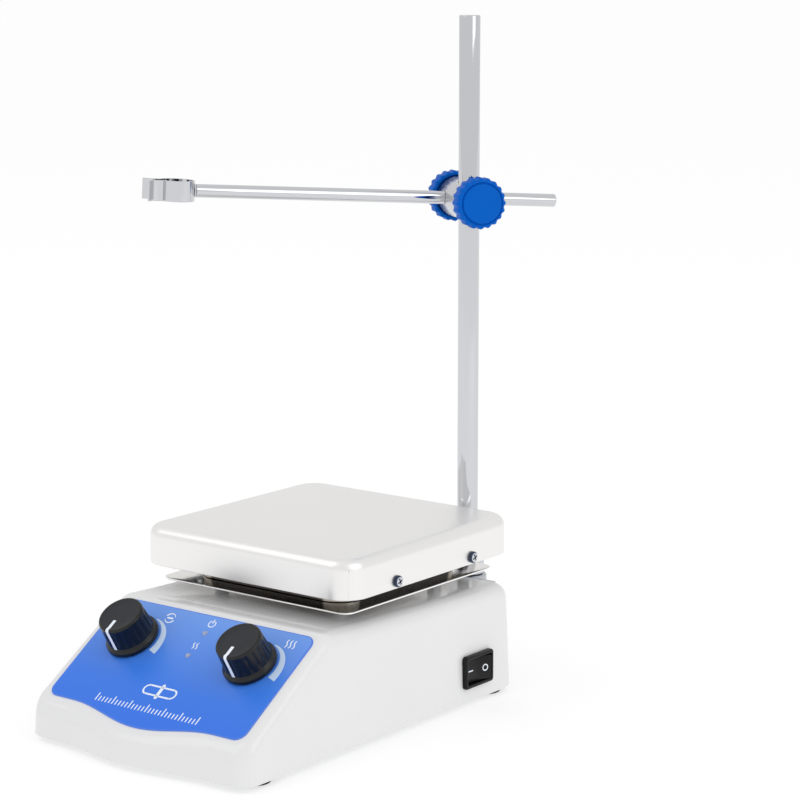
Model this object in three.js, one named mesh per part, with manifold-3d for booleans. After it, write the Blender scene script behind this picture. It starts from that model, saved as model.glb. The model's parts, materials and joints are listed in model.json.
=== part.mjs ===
// Magnetic stirrer with a heating plate, a support rod, a boss head and a spring-clip arm.
// Millimetres, +Z up. Heights in this file count from the bench; the exported group is lowered so
// that its origin is the centre of the plate's top face. Front is -Y, right is +X.
import * as THREE from "three";
import { mergeVertices } from "three/addons/utils/BufferGeometryUtils.js";
import Module from "manifold-3d";

const wasm = await Module();
wasm.setup();

// ---- Driving dimensions ------------------------------------------------------------------------
const GAP = 0.3; // clearance between faces that touch on the real object

const PLATE_SIDE = 120; // hot-plate cover, square
const PLATE_TOP_Z = 82.5;
const PLATE_RIM_Z = 65;
const PLATE_CORNER_R = 12;
const PLATE_EDGE_R = 5;
const COVER_SHEET = 0.9;

const FOOT_H = 2.5;
const CASE_HALF_W = 62; // at the bottom edge
const CASE_REAR_Y = 60;
const CASE_FRONT_Y = -130;
const BULGE_DEPTH = 5.6; // how far the front lip bows out at its middle
const BULGE_HALF_W = 44;
const CASE_CORNER_R = 9;
const CASE_EDGE_R = 7; // rounding between walls and deck
const CASE_WALL = 2.5;
const DRAFT = 0.035; // wall lean, mm per mm
const DECK_Z = 54; // at the crease, where the deck meets the sloping panel
const DECK_FALL = 0.026; // the deck runs down towards the rear, mm per mm

const SLOPE_ANGLE = THREE.MathUtils.degToRad(33.56);
const LABEL_TOP = { y: -74.8, z: 52.6 }; // a point on the sloping panel
const LABEL_HALF_W = 55;
const LABEL_LENGTH = 58.5; // down the slope, at its sides
const LABEL_BULGE = 6;
const LABEL_CORNER_R = 5;
const LABEL_T = 0.4;
const LABEL_LIFT = 0.1; // the film's back stands this far off the panel

const KNOB_X = 33.5;
const KNOB_S = 20.7; // down the slope from the label's top edge
const KNOB_FLANGE_D = 24.2;
const KNOB_TOP_D = 20.4;
const KNOB_H = 15.5;
const LAMP_S = [10.2, 23.3];
const LAMP_D = 3;

const SWITCH = { y: 28.75, z: 16.8, length: 21, height: 15, bezel: 1.8, depth: 13 };
const INLET = { x: -24, z: 27, width: 31, height: 37, bezel: 2.5, depth: 18 };

const TRAY_HALF = 53.6;
const TRAY_Z = 57.3;
const TRAY_T = 0.9;
const HOUSING_HALF = 43.5;
const HOUSING_CORNER_R = 12;
const HOUSING_TOP_Z = 71.2;
const POST_XY = 34; // tray spacers, well inside the tray's edge

const ROD = { x: 27.6, y: 68, d: 9.6, top: 305 };
const BRACKET = { halfW: 20, z0: 22, z1: 48, t: 3, bossR: 9 };
const COLLAR = { r: 7.8, height: 6.4 }; // round lock nut on the bracket
const BOSS_Z = 222;
const ARM_D = 6;
const ARM_LEFT = 125; // from the boss head's middle to the clip end
const ARM_RIGHT = 45;
const CLAMP_AZIMUTH = THREE.MathUtils.degToRad(55); // where the front clamp knob faces, from -Y
const ARM_TILT = THREE.MathUtils.degToRad(3.2); // the clip end is higher
const CLAMP_KNOB_D = 23.4;

// ---- Solid helpers -----------------------------------------------------------------------------
function toSolid(geometry) {
  const bare = geometry.index ? geometry.toNonIndexed() : geometry.clone();
  const points = new THREE.BufferGeometry().setAttribute("position", bare.getAttribute("position"));
  const merged = mergeVertices(points, 1e-4);
  return new wasm.Manifold(
    new wasm.Mesh({
      numProp: 3,
      vertProperties: merged.attributes.position.array,
      triVerts: new Uint32Array(merged.index.array),
    }),
  );
}

function toGeometry(solid) {
  const out = solid.getMesh();
  const geometry = new THREE.BufferGeometry();
  geometry.setAttribute("position", new THREE.BufferAttribute(new Float32Array(out.vertProperties), 3));
  geometry.setIndex(new THREE.BufferAttribute(new Uint32Array(out.triVerts), 1));
  const flat = geometry.toNonIndexed();
  flat.computeVertexNormals();
  return flat;
}

const moved = (solid, x, y, z) => solid.translate([x, y, z]);

function box(x0, x1, y0, y1, z0, z1) {
  const geometry = new THREE.BoxGeometry(x1 - x0, y1 - y0, z1 - z0);
  return moved(toSolid(geometry), (x0 + x1) / 2, (y0 + y1) / 2, (z0 + z1) / 2);
}

// Body of revolution about Z: [radius, height] points, first and last on the axis.
function turned(profile, segments = 24) {
  const points = profile.map(([r, z]) => new THREE.Vector2(r, z));
  const geometry = new THREE.LatheGeometry(points, segments);
  geometry.rotateX(Math.PI / 2);
  return toSolid(geometry);
}

const rod = (radius, z0, z1, segments = 24) =>
  turned([[0, z0], [radius, z0], [radius, z1], [0, z1]], segments);

const tube = (outer, inner, z0, z1, segments = 24) =>
  rod(outer, z0, z1, segments).subtract(rod(inner, z0 - 1, z1 + 1, segments));

// Straight prism of a plan outline between two heights.
function prism(points, z0, z1) {
  const shape = new THREE.Shape(points.map(([x, y]) => new THREE.Vector2(x, y)));
  const geometry = new THREE.ExtrudeGeometry(shape, { depth: z1 - z0, bevelEnabled: false });
  return moved(toSolid(geometry), 0, 0, z0);
}

// Rounded rectangle, anticlockwise, with `steps` chords on each corner.
function roundedRect(halfX, halfY, radius, steps = 4) {
  const points = [];
  const corners = [[1, -1, -90], [1, 1, 0], [-1, 1, 90], [-1, -1, 180]];
  for (const [sx, sy, start] of corners) {
    for (let i = 0; i <= steps; i += 1) {
      const a = THREE.MathUtils.degToRad(start + (90 * i) / steps);
      const cx = sx * (halfX - radius);
      const cy = sy * (halfY - radius);
      points.push([cx + radius * Math.cos(a), cy + radius * Math.sin(a)]);
    }
  }
  return points;
}

// Closed skin through a stack of outlines that have the same number of points, with flat ends
// fanned from a middle point.
function loft(rings, middle) {
  const vertices = [];
  const faces = [];
  const count = rings[0].points.length;
  for (const ring of rings) {
    for (const [x, y] of ring.points) vertices.push(x, y, ring.z);
  }
  for (let k = 0; k + 1 < rings.length; k += 1) {
    for (let i = 0; i < count; i += 1) {
      const j = (i + 1) % count;
      const a = k * count + i;
      const b = k * count + j;
      faces.push(a, b, b + count, a, b + count, a + count);
    }
  }
  const low = vertices.length / 3;
  vertices.push(middle[0], middle[1], rings[0].z);
  const high = low + 1;
  vertices.push(middle[0], middle[1], rings[rings.length - 1].z);
  const last = (rings.length - 1) * count;
  for (let i = 0; i < count; i += 1) {
    const j = (i + 1) % count;
    faces.push(low, j, i, high, last + i, last + j);
  }
  const geometry = new THREE.BufferGeometry();
  geometry.setAttribute("position", new THREE.BufferAttribute(new Float32Array(vertices), 3));
  geometry.setIndex(faces);
  return toSolid(geometry);
}

// Quarter-round rings between an upright wall and a flat top: inset and drop for each step.
function quarterRound(radius, steps) {
  return Array.from({ length: steps + 1 }, (_, i) => {
    const a = ((Math.PI / 2) * i) / steps;
    return { inset: radius * (1 - Math.cos(a)), drop: radius * (1 - Math.sin(a)) };
  });
}

// ---- Scene graph helpers -----------------------------------------------------------------------
const model = new THREE.Group();
model.position.z = -PLATE_TOP_Z;

const finish = (color, roughness, metalness) =>
  new THREE.MeshStandardMaterial({ color, roughness, metalness });
const WHITE_PLASTIC = () => finish(0xf2f2f1, 0.25, 0);
const GREY_PLASTIC = () => finish(0xb9bbbd, 0.6, 0);
const BLACK_PLASTIC = () => finish(0x17181a, 0.45, 0);
const BLUE_LABEL = () => finish(0x3f78e0, 0.35, 0);
const BLUE_PLASTIC = () => finish(0x0b56b8, 0.35, 0);
const RUBBER = () => finish(0x202020, 0.85, 0);
const SATIN_STEEL = () => finish(0xd3d1ce, 0.38, 1);
const BRUSHED_STEEL = () => finish(0x8e8a85, 0.4, 1);
const CHROME = () => finish(0xe8e8ea, 0.08, 1);
const ZINC = () => finish(0xc3c6ca, 0.3, 1);
const CAST_ALUMINIUM = () => finish(0xa7a8aa, 0.55, 1);
const MINERAL_WOOL = () => finish(0xe6dfd0, 0.95, 0);
const CIRCUIT = () => finish(0x1c6b3c, 0.5, 0);
const LAMP_LENS = () => finish(0xdfe4ea, 0.15, 0);
const MAGNET = () => finish(0x55575a, 0.35, 1);
const FUSE_GLASS = () => finish(0xdfe8ec, 0.1, 0.2);

function add(name, solid, material, parent = model) {
  const mesh = new THREE.Mesh(toGeometry(solid), material);
  mesh.name = name;
  parent.add(mesh);
  return mesh;
}

function placed(x, y, z, parent = model) {
  const group = new THREE.Group();
  group.position.set(x, y, z);
  parent.add(group);
  return group;
}

// A frame on the sloping panel: local +Z leaves the panel at right angles, local +Y points up the
// slope, and s counts down the slope from the label's top edge.
function onPanel(x, s) {
  const y = LABEL_TOP.y - s * Math.cos(SLOPE_ANGLE);
  const z = LABEL_TOP.z - s * Math.sin(SLOPE_ANGLE);
  const group = placed(x, y, z);
  group.rotation.x = SLOPE_ANGLE;
  return group;
}

// The same frame's transform, for solids that are cut in the casing's own coordinates.
function ontoPanel(solid, x, s) {
  const y = LABEL_TOP.y - s * Math.cos(SLOPE_ANGLE);
  const z = LABEL_TOP.z - s * Math.sin(SLOPE_ANGLE);
  return moved(solid.rotate([THREE.MathUtils.radToDeg(SLOPE_ANGLE), 0, 0]), x, y, z);
}

// ---- Casing ------------------------------------------------------------------------------------
// Plan outline at the bottom edge, moved inwards by `inset`. The front bows out along a raised
// cosine between -BULGE_HALF_W and +BULGE_HALF_W.
function casingOutline(inset, cornerSteps = 5, bulgeSteps = 14) {
  const halfDepth = (CASE_REAR_Y - CASE_FRONT_Y) / 2;
  const middleY = (CASE_REAR_Y + CASE_FRONT_Y) / 2;
  const radius = Math.max(CASE_CORNER_R - inset, 1.5);
  const corners = roundedRect(CASE_HALF_W - inset, halfDepth - inset, radius, cornerSteps);
  const outline = corners.map(([x, y]) => [x, y + middleY]);
  for (let i = 0; i <= bulgeSteps; i += 1) {
    const x = -BULGE_HALF_W + (2 * BULGE_HALF_W * i) / bulgeSteps;
    const bow = (BULGE_DEPTH / 2) * (1 + Math.cos((Math.PI * x) / BULGE_HALF_W));
    outline.push([x, CASE_FRONT_Y + inset - bow]);
  }
  return outline;
}

const CREASE_Y = LABEL_TOP.y + (DECK_Z - LABEL_TOP.z) / Math.tan(SLOPE_ANGLE);
const deckZ = (y) => DECK_Z - DECK_FALL * (y - CREASE_Y);

// Everything above the sloping panel's plane, sunk by `depth` below it.
const aboveSlope = (depth) => ontoPanel(box(-90, 90, -110, 60, -depth, 80), 0, 0);

function casingBody(inset, z0, top, edge, steps) {
  const rings = [{ z: z0, points: casingOutline(inset + DRAFT * (z0 - FOOT_H)) }];
  for (const { inset: extra, drop } of quarterRound(edge, steps)) {
    const z = top - drop;
    rings.push({ z, points: casingOutline(inset + DRAFT * (z - FOOT_H) + extra) });
  }
  // The top leans with the deck; the bottom edge stays level.
  const leaning = loft(rings, [0, (CASE_REAR_Y + CASE_FRONT_Y) / 2]).warp((v) => {
    v[2] -= (DECK_FALL * (v[1] - CREASE_Y) * (v[2] - z0)) / (top - z0);
  });
  return leaning.subtract(aboveSlope(inset));
}

const BASE_SCREWS = [[-52, -112], [52, -112], [-52, 49], [52, 49]];
const BOSS_BOTTOM_Z = 5.1;
const SCREW_BOSS_D = 8;
const SCREW_HOLE_R = 1.8;
const SHAFT_HOLE_R = 9;
const BUSHING_HOLE_R = 4.2; // for a control's threaded bushing, in the panel and the film

function upperCasing() {
  let shell = casingBody(0, FOOT_H, DECK_Z, CASE_EDGE_R, 4);
  const hollow = casingBody(CASE_WALL, FOOT_H - 1, DECK_Z - CASE_WALL, 4, 2);
  shell = shell.subtract(hollow);
  for (const [x, y] of BASE_SCREWS) {
    const boss = rod(SCREW_BOSS_D / 2, BOSS_BOTTOM_Z, deckZ(y) - 1, 16);
    shell = shell.add(moved(boss, x, y, 0).subtract(aboveSlope(1)));
  }
  const cuts = [
    ...BASE_SCREWS.map(([x, y]) => moved(rod(SCREW_HOLE_R, 0, 15, 12), x, y, 0)),
    rod(SHAFT_HOLE_R, 40, 70),
    ...[-KNOB_X, KNOB_X].map((x) => ontoPanel(rod(BUSHING_HOLE_R, -12, 6, 16), x, KNOB_S)),
    ...LAMP_S.map((s) => ontoPanel(rod(LAMP_D / 2 + GAP, -12, 6, 16), 0, s)),
    switchOpening(),
    inletOpening(),
    ...BRACKET_SCREW_X.map((x) => moved(alongY(rod(2.3, 50, 66, 12)), x, 0, BRACKET_SCREW_Z)),
    ...DECK_SCREWS.map(([x, y]) => moved(rod(2, 44, 60, 12), x, y, 0)),
  ];
  for (const cut of cuts) shell = shell.subtract(cut);
  return shell;
}

// Turns a solid's +Z to +Y.
const alongY = (solid) => solid.rotate([-90, 0, 0]);
// Turns a solid's +Z to +X.
const alongX = (solid) => solid.rotate([0, 90, 0]);

const BRACKET_SCREW_X = [ROD.x - 14, ROD.x + 14];
const BRACKET_SCREW_Z = 34;
const DECK_SCREWS = [[-24, -24], [24, -24], [-24, 24], [24, 24]];
const PANEL_HOLE = 0.4; // room round a part in its panel hole

function switchOpening() {
  const halfL = SWITCH.length / 2 - 1 + PANEL_HOLE;
  const halfH = SWITCH.height / 2 - 1 + PANEL_HOLE;
  return box(50, 70, SWITCH.y - halfL, SWITCH.y + halfL, SWITCH.z - halfH, SWITCH.z + halfH);
}

function inletOpening() {
  const halfW = INLET.width / 2 - 2 + PANEL_HOLE;
  const halfH = INLET.height / 2 - 2.5 + PANEL_HOLE;
  return box(INLET.x - halfW, INLET.x + halfW, 50, 70, INLET.z - halfH, INLET.z + halfH);
}

const COVER_T = 2.1;
const SLOTS = { halfL: 30, middleY: -24, pitch: 7, width: 2.5 };
// Bottom cover: a flat plate with cooling slots, and standoffs for the circuit board.
function bottomCover() {
  const outline = casingOutline(CASE_WALL + GAP + 0.2);
  let plate = prism(outline, FOOT_H, FOOT_H + COVER_T);
  const slots = [];
  for (let i = -4; i <= 4; i += 1) {
    const y = SLOTS.middleY + SLOTS.pitch * i;
    slots.push(box(-SLOTS.halfL, SLOTS.halfL, y, y + SLOTS.width, 0, 8));
  }
  const holes = BASE_SCREWS.map(([x, y]) => moved(rod(SCREW_HOLE_R, 0, 8, 12), x, y, 0));
  for (const cut of [...slots, ...holes]) plate = plate.subtract(cut);
  for (const [x, y] of BOARD_FIXINGS) {
    plate = plate.add(moved(rod(2.5, 4, BOARD_Z - GAP, 12), x, y, 0));
  }
  return plate;
}

const BOARD_Z = 11;
const BOARD = { x0: -52, x1: -20, y0: -62, y1: 12 };
const BOARD_FIXINGS = [[-48, -58], [-24, -58], [-48, 8], [-24, 8]];

// Rubber foot with a recess for its screw's head.
function foot() {
  const outer = turned([[0, 0], [6.2, 0], [7, 0.8], [7, FOOT_H - GAP], [0, FOOT_H - GAP]], 20);
  return outer.subtract(rod(3.8, -1, 1.4, 12)).subtract(rod(2, -1, 5, 8));
}

// Countersunk or pan screw: head below, shank upwards along +Z, cross recess in the head.
function panScrew(headD, headH, shankD, shankL) {
  const head = turned(
    [[0, 0], [headD * 0.32, 0], [headD * 0.5, headH * 0.6], [headD * 0.5, headH], [0, headH]],
    12,
  );
  const shank = rod(shankD / 2, headH - 0.01, headH + shankL, 8);
  const slot = headD * 0.27;
  const wide = headD * 0.07;
  const depth = headH * 0.5;
  const arm = box(-slot, slot, -wide, wide, -1, depth);
  return head.add(shank).subtract(arm).subtract(arm.rotate([0, 0, 90]));
}

add("upper_casing", upperCasing(), WHITE_PLASTIC());
add("bottom_cover", bottomCover(), GREY_PLASTIC());
const CORNER_NAMES = ["front_left", "front_right", "rear_left", "rear_right"];
BASE_SCREWS.forEach(([x, y], i) => {
  add(`foot_${CORNER_NAMES[i]}`, foot(), RUBBER(), placed(x, y, 0));
  add(`base_screw_${CORNER_NAMES[i]}`, panScrew(6, 1, 2.8, 10), ZINC(), placed(x, y, 0.2));
});

// ---- Control panel -----------------------------------------------------------------------------
// Thin sheet on the slope. In its own frame x runs across and y up the slope.
function controlLabel() {
  const bottomY = -LABEL_LENGTH;
  const corner = roundedRect(LABEL_HALF_W, LABEL_LENGTH / 2, LABEL_CORNER_R, 4);
  const outline = corner.map(([x, y]) => [x, y - LABEL_LENGTH / 2]);
  const steps = 12;
  const half = 40;
  for (let i = 0; i <= steps; i += 1) {
    const x = -half + (2 * half * i) / steps;
    const bow = (LABEL_BULGE / 2) * (1 + Math.cos((Math.PI * x) / half));
    outline.push([x, bottomY - bow]);
  }
  let sheet = prism(outline, 0, LABEL_T);
  for (const x of [-KNOB_X, KNOB_X]) {
    sheet = sheet.subtract(moved(rod(BUSHING_HOLE_R, -2, 2, 16), x, -KNOB_S, 0));
  }
  for (const s of LAMP_S) {
    sheet = sheet.subtract(moved(rod(LAMP_D / 2 + GAP, -2, 2, 16), 0, -s, 0));
  }
  return sheet;
}
add("control_label", moved(controlLabel(), 0, 0, LABEL_LIFT), BLUE_LABEL(), onPanel(0, 0));

// Knob: skirt flange, fluted tapering grip, a shallow dished top and a raised pointer that runs
// from the top's middle down the grip towards the bottom of the slope.
const KNOB_BASE_Z = 0.9;
function controlKnob() {
  const flangeR = KNOB_FLANGE_D / 2;
  const topR = KNOB_TOP_D / 2;
  let knob = turned(
    [
      [0, KNOB_BASE_Z],
      [flangeR - 0.4, KNOB_BASE_Z],
      [flangeR, KNOB_BASE_Z + 0.5],
      [flangeR, KNOB_BASE_Z + 1.9],
      [flangeR - 1.1, KNOB_BASE_Z + 3.1],
      [topR + 0.5, KNOB_BASE_Z + 3.5],
      [topR, KNOB_H - 0.8],
      [topR - 0.8, KNOB_H],
      [topR - 2, KNOB_H - 0.25],
      [0, KNOB_H - 0.25],
    ],
    36,
  );
  const flutes = 18;
  for (let i = 0; i < flutes; i += 1) {
    const a = (2 * Math.PI * (i + 0.5)) / flutes;
    const groove = rod(0.9, KNOB_BASE_Z + 4, KNOB_H - 1.6, 4);
    const out = topR + 0.75;
    knob = knob.subtract(moved(groove, out * Math.cos(a), out * Math.sin(a), 0));
  }
  const shaftHole = rod(SHAFT_D / 2 + 0.05, 0, KNOB_H - 4, 16);
  const nutRoom = rod(5.4, 0, KNOB_BASE_Z + 2.6, 20);
  const onTop = box(-0.75, 0.75, -topR + 0.4, -topR + 5.6, KNOB_H - 1, KNOB_H + 0.35);
  const downSide = box(-0.75, 0.75, -topR - 0.9, -topR + 0.6, KNOB_BASE_Z + 2, KNOB_H + 0.35);
  return knob.add(onTop).add(downSide).subtract(shaftHole).subtract(nutRoom);
}

const SHAFT_D = 6;
function potentiometer() {
  const body = rod(8, -12, -CASE_WALL - GAP - 0.5, 20);
  const bushing = rod(3.5, -12, 2.9, 16);
  const tags = box(-6, 6, 6.5, 10.5, -8.5, -7.3);
  return body.add(bushing).add(tags).subtract(rod(SHAFT_D / 2 - 0.5, -10, 5, 16));
}
const potShaft = () =>
  rod(SHAFT_D / 2 - 0.8, -9.5, 3.2, 16).add(rod(SHAFT_D / 2 - 0.25, 3.2, KNOB_H - 4.4, 16));

for (const [name, x] of [["stirring", -KNOB_X], ["heating", KNOB_X]]) {
  const spot = onPanel(x, KNOB_S);
  add(`${name}_potentiometer`, potentiometer(), GREY_PLASTIC(), spot);
  add(`${name}_knob_shaft`, potShaft(), ZINC(), spot);
  add(`${name}_knob`, controlKnob(), BLACK_PLASTIC(), spot);
}

// Indicator lamps: a domed lens on a lamp body that passes through the panel.
function lamp() {
  const r = LAMP_D / 2;
  return turned([[0, -5.5], [r, -5.5], [r, 0.6], [r * 0.85, 1.2], [r * 0.5, 1.6], [0, 1.75]], 16);
}
["power_lamp", "heat_lamp"].forEach((name, i) => {
  add(name, lamp(), LAMP_LENS(), onPanel(0, LAMP_S[i]));
});

// ---- Rocker switch in the right wall -----------------------------------------------------------
const WALL_X = CASE_HALF_W - DRAFT * (SWITCH.z - FOOT_H); // wall face at the switch's height
const ROCKER_PIVOT_X = WALL_X - 1.2;
const ROCKER_HALF = { y: 8.1, z: 5.4 };
// Block between two distances from the middle plane, centred on the switch.
const onWall = (x0, x1, halfY, halfZ) =>
  moved(box(x0, x1, -halfY, halfY, -halfZ, halfZ), 0, SWITCH.y, SWITCH.z);

// Bezel, body and three tags of the switch, hollow for its rocker.
function switchBody() {
  const { length, height, bezel, depth } = SWITCH;
  const faceX = WALL_X + 0.5;
  const face = onWall(faceX, faceX + bezel, length / 2, height / 2);
  const can = onWall(WALL_X - depth, WALL_X + 1, length / 2 - 1, height / 2 - 1);
  const well = onWall(WALL_X - 6.5, WALL_X + 9, ROCKER_HALF.y + 0.8, ROCKER_HALF.z + 0.4);
  let body = face.add(can).subtract(well);
  for (const dy of [-6, 0, 6]) {
    body = body.add(moved(onWall(WALL_X - depth - 6, WALL_X - depth + 1, 0.4, 2.4), 0, dy, 0));
  }
  return body;
}
// Shallow V seen from above: the end towards the rear stands proud at rest.
function switchRocker() {
  const tip = ROCKER_HALF.y;
  const profile = [[0.3, -tip], [3.0, -tip], [2.2, 0], [3.0, tip], [0.3, tip], [-3.2, 2.5], [-3.2, -2.5]];
  const blade = prism(profile, -ROCKER_HALF.z, ROCKER_HALF.z);
  return blade.rotate([0, 0, ROCKER_REST]);
}
const ROCKER_REST = -9; // degrees about Z: rear end out, front end in
add("switch_body", switchBody(), BLACK_PLASTIC());
add("switch_rocker", switchRocker(), BLACK_PLASTIC(), placed(ROCKER_PIVOT_X, SWITCH.y, SWITCH.z));

// ---- Mains inlet with fuse drawer in the rear wall ---------------------------------------------
const REAR_FACE_Y = CASE_REAR_Y + 0.3;
const SOCKET = { halfW: 12, halfH: 8, z: INLET.z + 6.5, depth: 15 };
const DRAWER = { halfW: 10, halfH: 4, z: INLET.z - 11, depth: 14 };
// Block between two distances behind the middle, centred on the inlet.
const inletBlock = (y0, y1, halfX, halfZ) =>
  moved(box(-halfX, halfX, y0, y1, -halfZ, halfZ), INLET.x, 0, INLET.z);

function powerInlet() {
  const { x, width, height, bezel, depth } = INLET;
  const face = inletBlock(REAR_FACE_Y, REAR_FACE_Y + bezel, width / 2, height / 2);
  const can = inletBlock(REAR_FACE_Y - depth, REAR_FACE_Y + 1, width / 2 - 2, height / 2 - 2.5);
  let body = face.add(can);
  // The socket's well: a rectangle with its two upper corners cut off.
  const well = [
    [-SOCKET.halfW, -SOCKET.halfH],
    [SOCKET.halfW, -SOCKET.halfH],
    [SOCKET.halfW, SOCKET.halfH - 4],
    [SOCKET.halfW - 4, SOCKET.halfH],
    [-SOCKET.halfW + 4, SOCKET.halfH],
    [-SOCKET.halfW, SOCKET.halfH - 4],
  ];
  const wellSolid = prism(well, -SOCKET.depth, 5).rotate([-90, 0, 0]).rotate([0, 180, 0]);
  body = body.subtract(moved(wellSolid, x, REAR_FACE_Y + bezel, SOCKET.z));
  const pins = [[-7, -1.5], [0, 2.5], [7, -1.5]];
  for (const [dx, dz] of pins) {
    const pin = box(-1, 1, REAR_FACE_Y - 16, REAR_FACE_Y - 2, -2, 2);
    body = body.add(moved(pin, x + dx, 0, SOCKET.z + dz));
  }
  const slot = box(
    x - DRAWER.halfW - GAP,
    x + DRAWER.halfW + GAP,
    REAR_FACE_Y - DRAWER.depth - GAP,
    REAR_FACE_Y + bezel + 1,
    DRAWER.z - DRAWER.halfH - GAP,
    DRAWER.z + DRAWER.halfH + GAP,
  );
  return body.subtract(slot);
}
// Drawer: open-topped box with a finger lip on its front; the fuse lies across it.
function fuseDrawer() {
  const { halfW, halfH, depth } = DRAWER;
  const front = REAR_FACE_Y + INLET.bezel;
  let drawer = box(-halfW, halfW, REAR_FACE_Y - depth, front, -halfH, halfH);
  drawer = drawer.add(box(-4, 4, front - 0.5, front + 1.2, -1.2, 0.6));
  const pocket = box(-FUSE_L / 2 - 0.4, FUSE_L / 2 + 0.4, FUSE_Y - 3.1, FUSE_Y + 3.1, -3, halfH + 1);
  return drawer.subtract(pocket);
}
const FUSE_L = 18.8;
const FUSE_Y = REAR_FACE_Y - 5;
function fuse() {
  const cap = 5;
  const glass = rod(2.35, -FUSE_L / 2, FUSE_L / 2, 16);
  const capA = rod(2.6, -FUSE_L / 2, -FUSE_L / 2 + cap, 16);
  const capB = rod(2.6, FUSE_L / 2 - cap, FUSE_L / 2, 16);
  return alongX(glass.add(capA).add(capB));
}
add("power_inlet", powerInlet(), BLACK_PLASTIC());
add("fuse_drawer", fuseDrawer(), BLACK_PLASTIC(), placed(INLET.x, 0, DRAWER.z));
add("fuse", fuse(), FUSE_GLASS(), placed(INLET.x, FUSE_Y, DRAWER.z));

// ---- Hot plate ---------------------------------------------------------------------------------
function platedBox(half, cornerR, edgeR, z0, z1, steps) {
  const rings = [{ z: z0, points: roundedRect(half, half, cornerR, 5) }];
  for (const { inset, drop } of quarterRound(edgeR, steps)) {
    const radius = Math.max(cornerR - inset, 1);
    rings.push({ z: z1 - drop, points: roundedRect(half - inset, half - inset, radius, 5) });
  }
  return loft(rings, [0, 0]);
}
const COVER_SCREW_Y = 27.2;
const COVER_SCREW_Z = 68.3;
const COVER_SCREW_HOLE_R = 1.9;
function hotPlateCover() {
  const half = PLATE_SIDE / 2;
  const outer = platedBox(half, PLATE_CORNER_R, PLATE_EDGE_R, PLATE_RIM_Z, PLATE_TOP_Z, 4);
  const inner = platedBox(
    half - COVER_SHEET,
    PLATE_CORNER_R - COVER_SHEET,
    PLATE_EDGE_R - COVER_SHEET,
    PLATE_RIM_Z - 1,
    PLATE_TOP_Z - COVER_SHEET,
    2,
  );
  return drillForCoverScrews(outer.subtract(inner), -70, 70);
}
function drillForCoverScrews(solid, x0, x1) {
  const drill = alongX(rod(COVER_SCREW_HOLE_R, x0, x1, 12));
  return solid
    .subtract(moved(drill, 0, -COVER_SCREW_Y, COVER_SCREW_Z))
    .subtract(moved(drill, 0, COVER_SCREW_Y, COVER_SCREW_Z));
}

// Angle strip between the heater housing and the cover's skirt, tapped for the cover screws.
function coverBracket() {
  const skirtX = PLATE_SIDE / 2 - COVER_SHEET - GAP;
  const flange = box(HOUSING_HALF + 0.6, skirtX, -36, 36, 70, 71.2);
  const web = box(skirtX - 1.5, skirtX, -36, 36, 66, 71.2);
  return drillForCoverScrews(flange.add(web), 50, 70);
}

// Housing walls: an open square tube.
function heaterHousing() {
  const wall = 1.2;
  const halfIn = HOUSING_HALF - wall;
  const outline = roundedRect(HOUSING_HALF, HOUSING_HALF, HOUSING_CORNER_R, 5);
  const outer = prism(outline, TRAY_Z + TRAY_T + GAP, HOUSING_TOP_Z);
  const inner = prism(roundedRect(halfIn, halfIn, HOUSING_CORNER_R - wall, 5), 50, 80);
  return outer.subtract(inner);
}

function heatShieldTray() {
  let tray = prism(roundedRect(TRAY_HALF, TRAY_HALF, 5.5, 4), TRAY_Z, TRAY_Z + TRAY_T);
  tray = tray.subtract(rod(14, 50, 60, 24));
  for (const [x, y] of DECK_SCREWS) tray = tray.subtract(moved(rod(2, 50, 60, 12), x, y, 0));
  return tray;
}

// Tube between deck and tray; y is the post's place, because the deck is not level.
const POST_R = 3.1;
const post = (y) => tube(POST_R, 1.7, deckZ(y - POST_R) + GAP, TRAY_Z - GAP, 20);

const HEATER_Z = 74.2;
// Cast plate with shallow grooves for the element under it.
function heaterPlate() {
  let plate = prism(roundedRect(52, 52, 8, 4), HEATER_Z, HEATER_Z + 7);
  for (const y of [-36, -12, 12, 36]) {
    plate = plate.subtract(box(-44, 44, y - 3, y + 3, HEATER_Z - 4, HEATER_Z + 1.2));
  }
  return plate;
}

const insulationPad = () =>
  prism(roundedRect(50, 50, 7, 3), HOUSING_TOP_Z + GAP, HEATER_Z - GAP);

add("hot_plate_cover", hotPlateCover(), SATIN_STEEL());
add("heater_plate", heaterPlate(), CAST_ALUMINIUM());
add("insulation_pad", insulationPad(), MINERAL_WOOL());
add("heater_housing", heaterHousing(), BRUSHED_STEEL());
add("heat_shield_tray", heatShieldTray(), CHROME());
add("cover_bracket_right", coverBracket(), ZINC());
add("cover_bracket_left", coverBracket().rotate([0, 0, 180]), ZINC());
[[-1, -1], [1, -1], [-1, 1], [1, 1]].forEach(([sx, sy], i) => {
  const y = sy * POST_XY;
  add(`tray_spacer_${CORNER_NAMES[i]}`, post(y), ZINC(), placed(sx * POST_XY, y, 0));
});
for (const [side, sign] of [["left", -1], ["right", 1]]) {
  for (const [end, y] of [["front", -COVER_SCREW_Y], ["rear", COVER_SCREW_Y]]) {
    const headX = PLATE_SIDE / 2 + GAP + 1.5;
    const screw = panScrew(5.2, 1.5, 3, 7).rotate([0, -90 * sign, 0]);
    add(`cover_screw_${side}_${end}`, screw, ZINC(), placed(sign * headX, y, COVER_SCREW_Z));
  }
}

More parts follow.
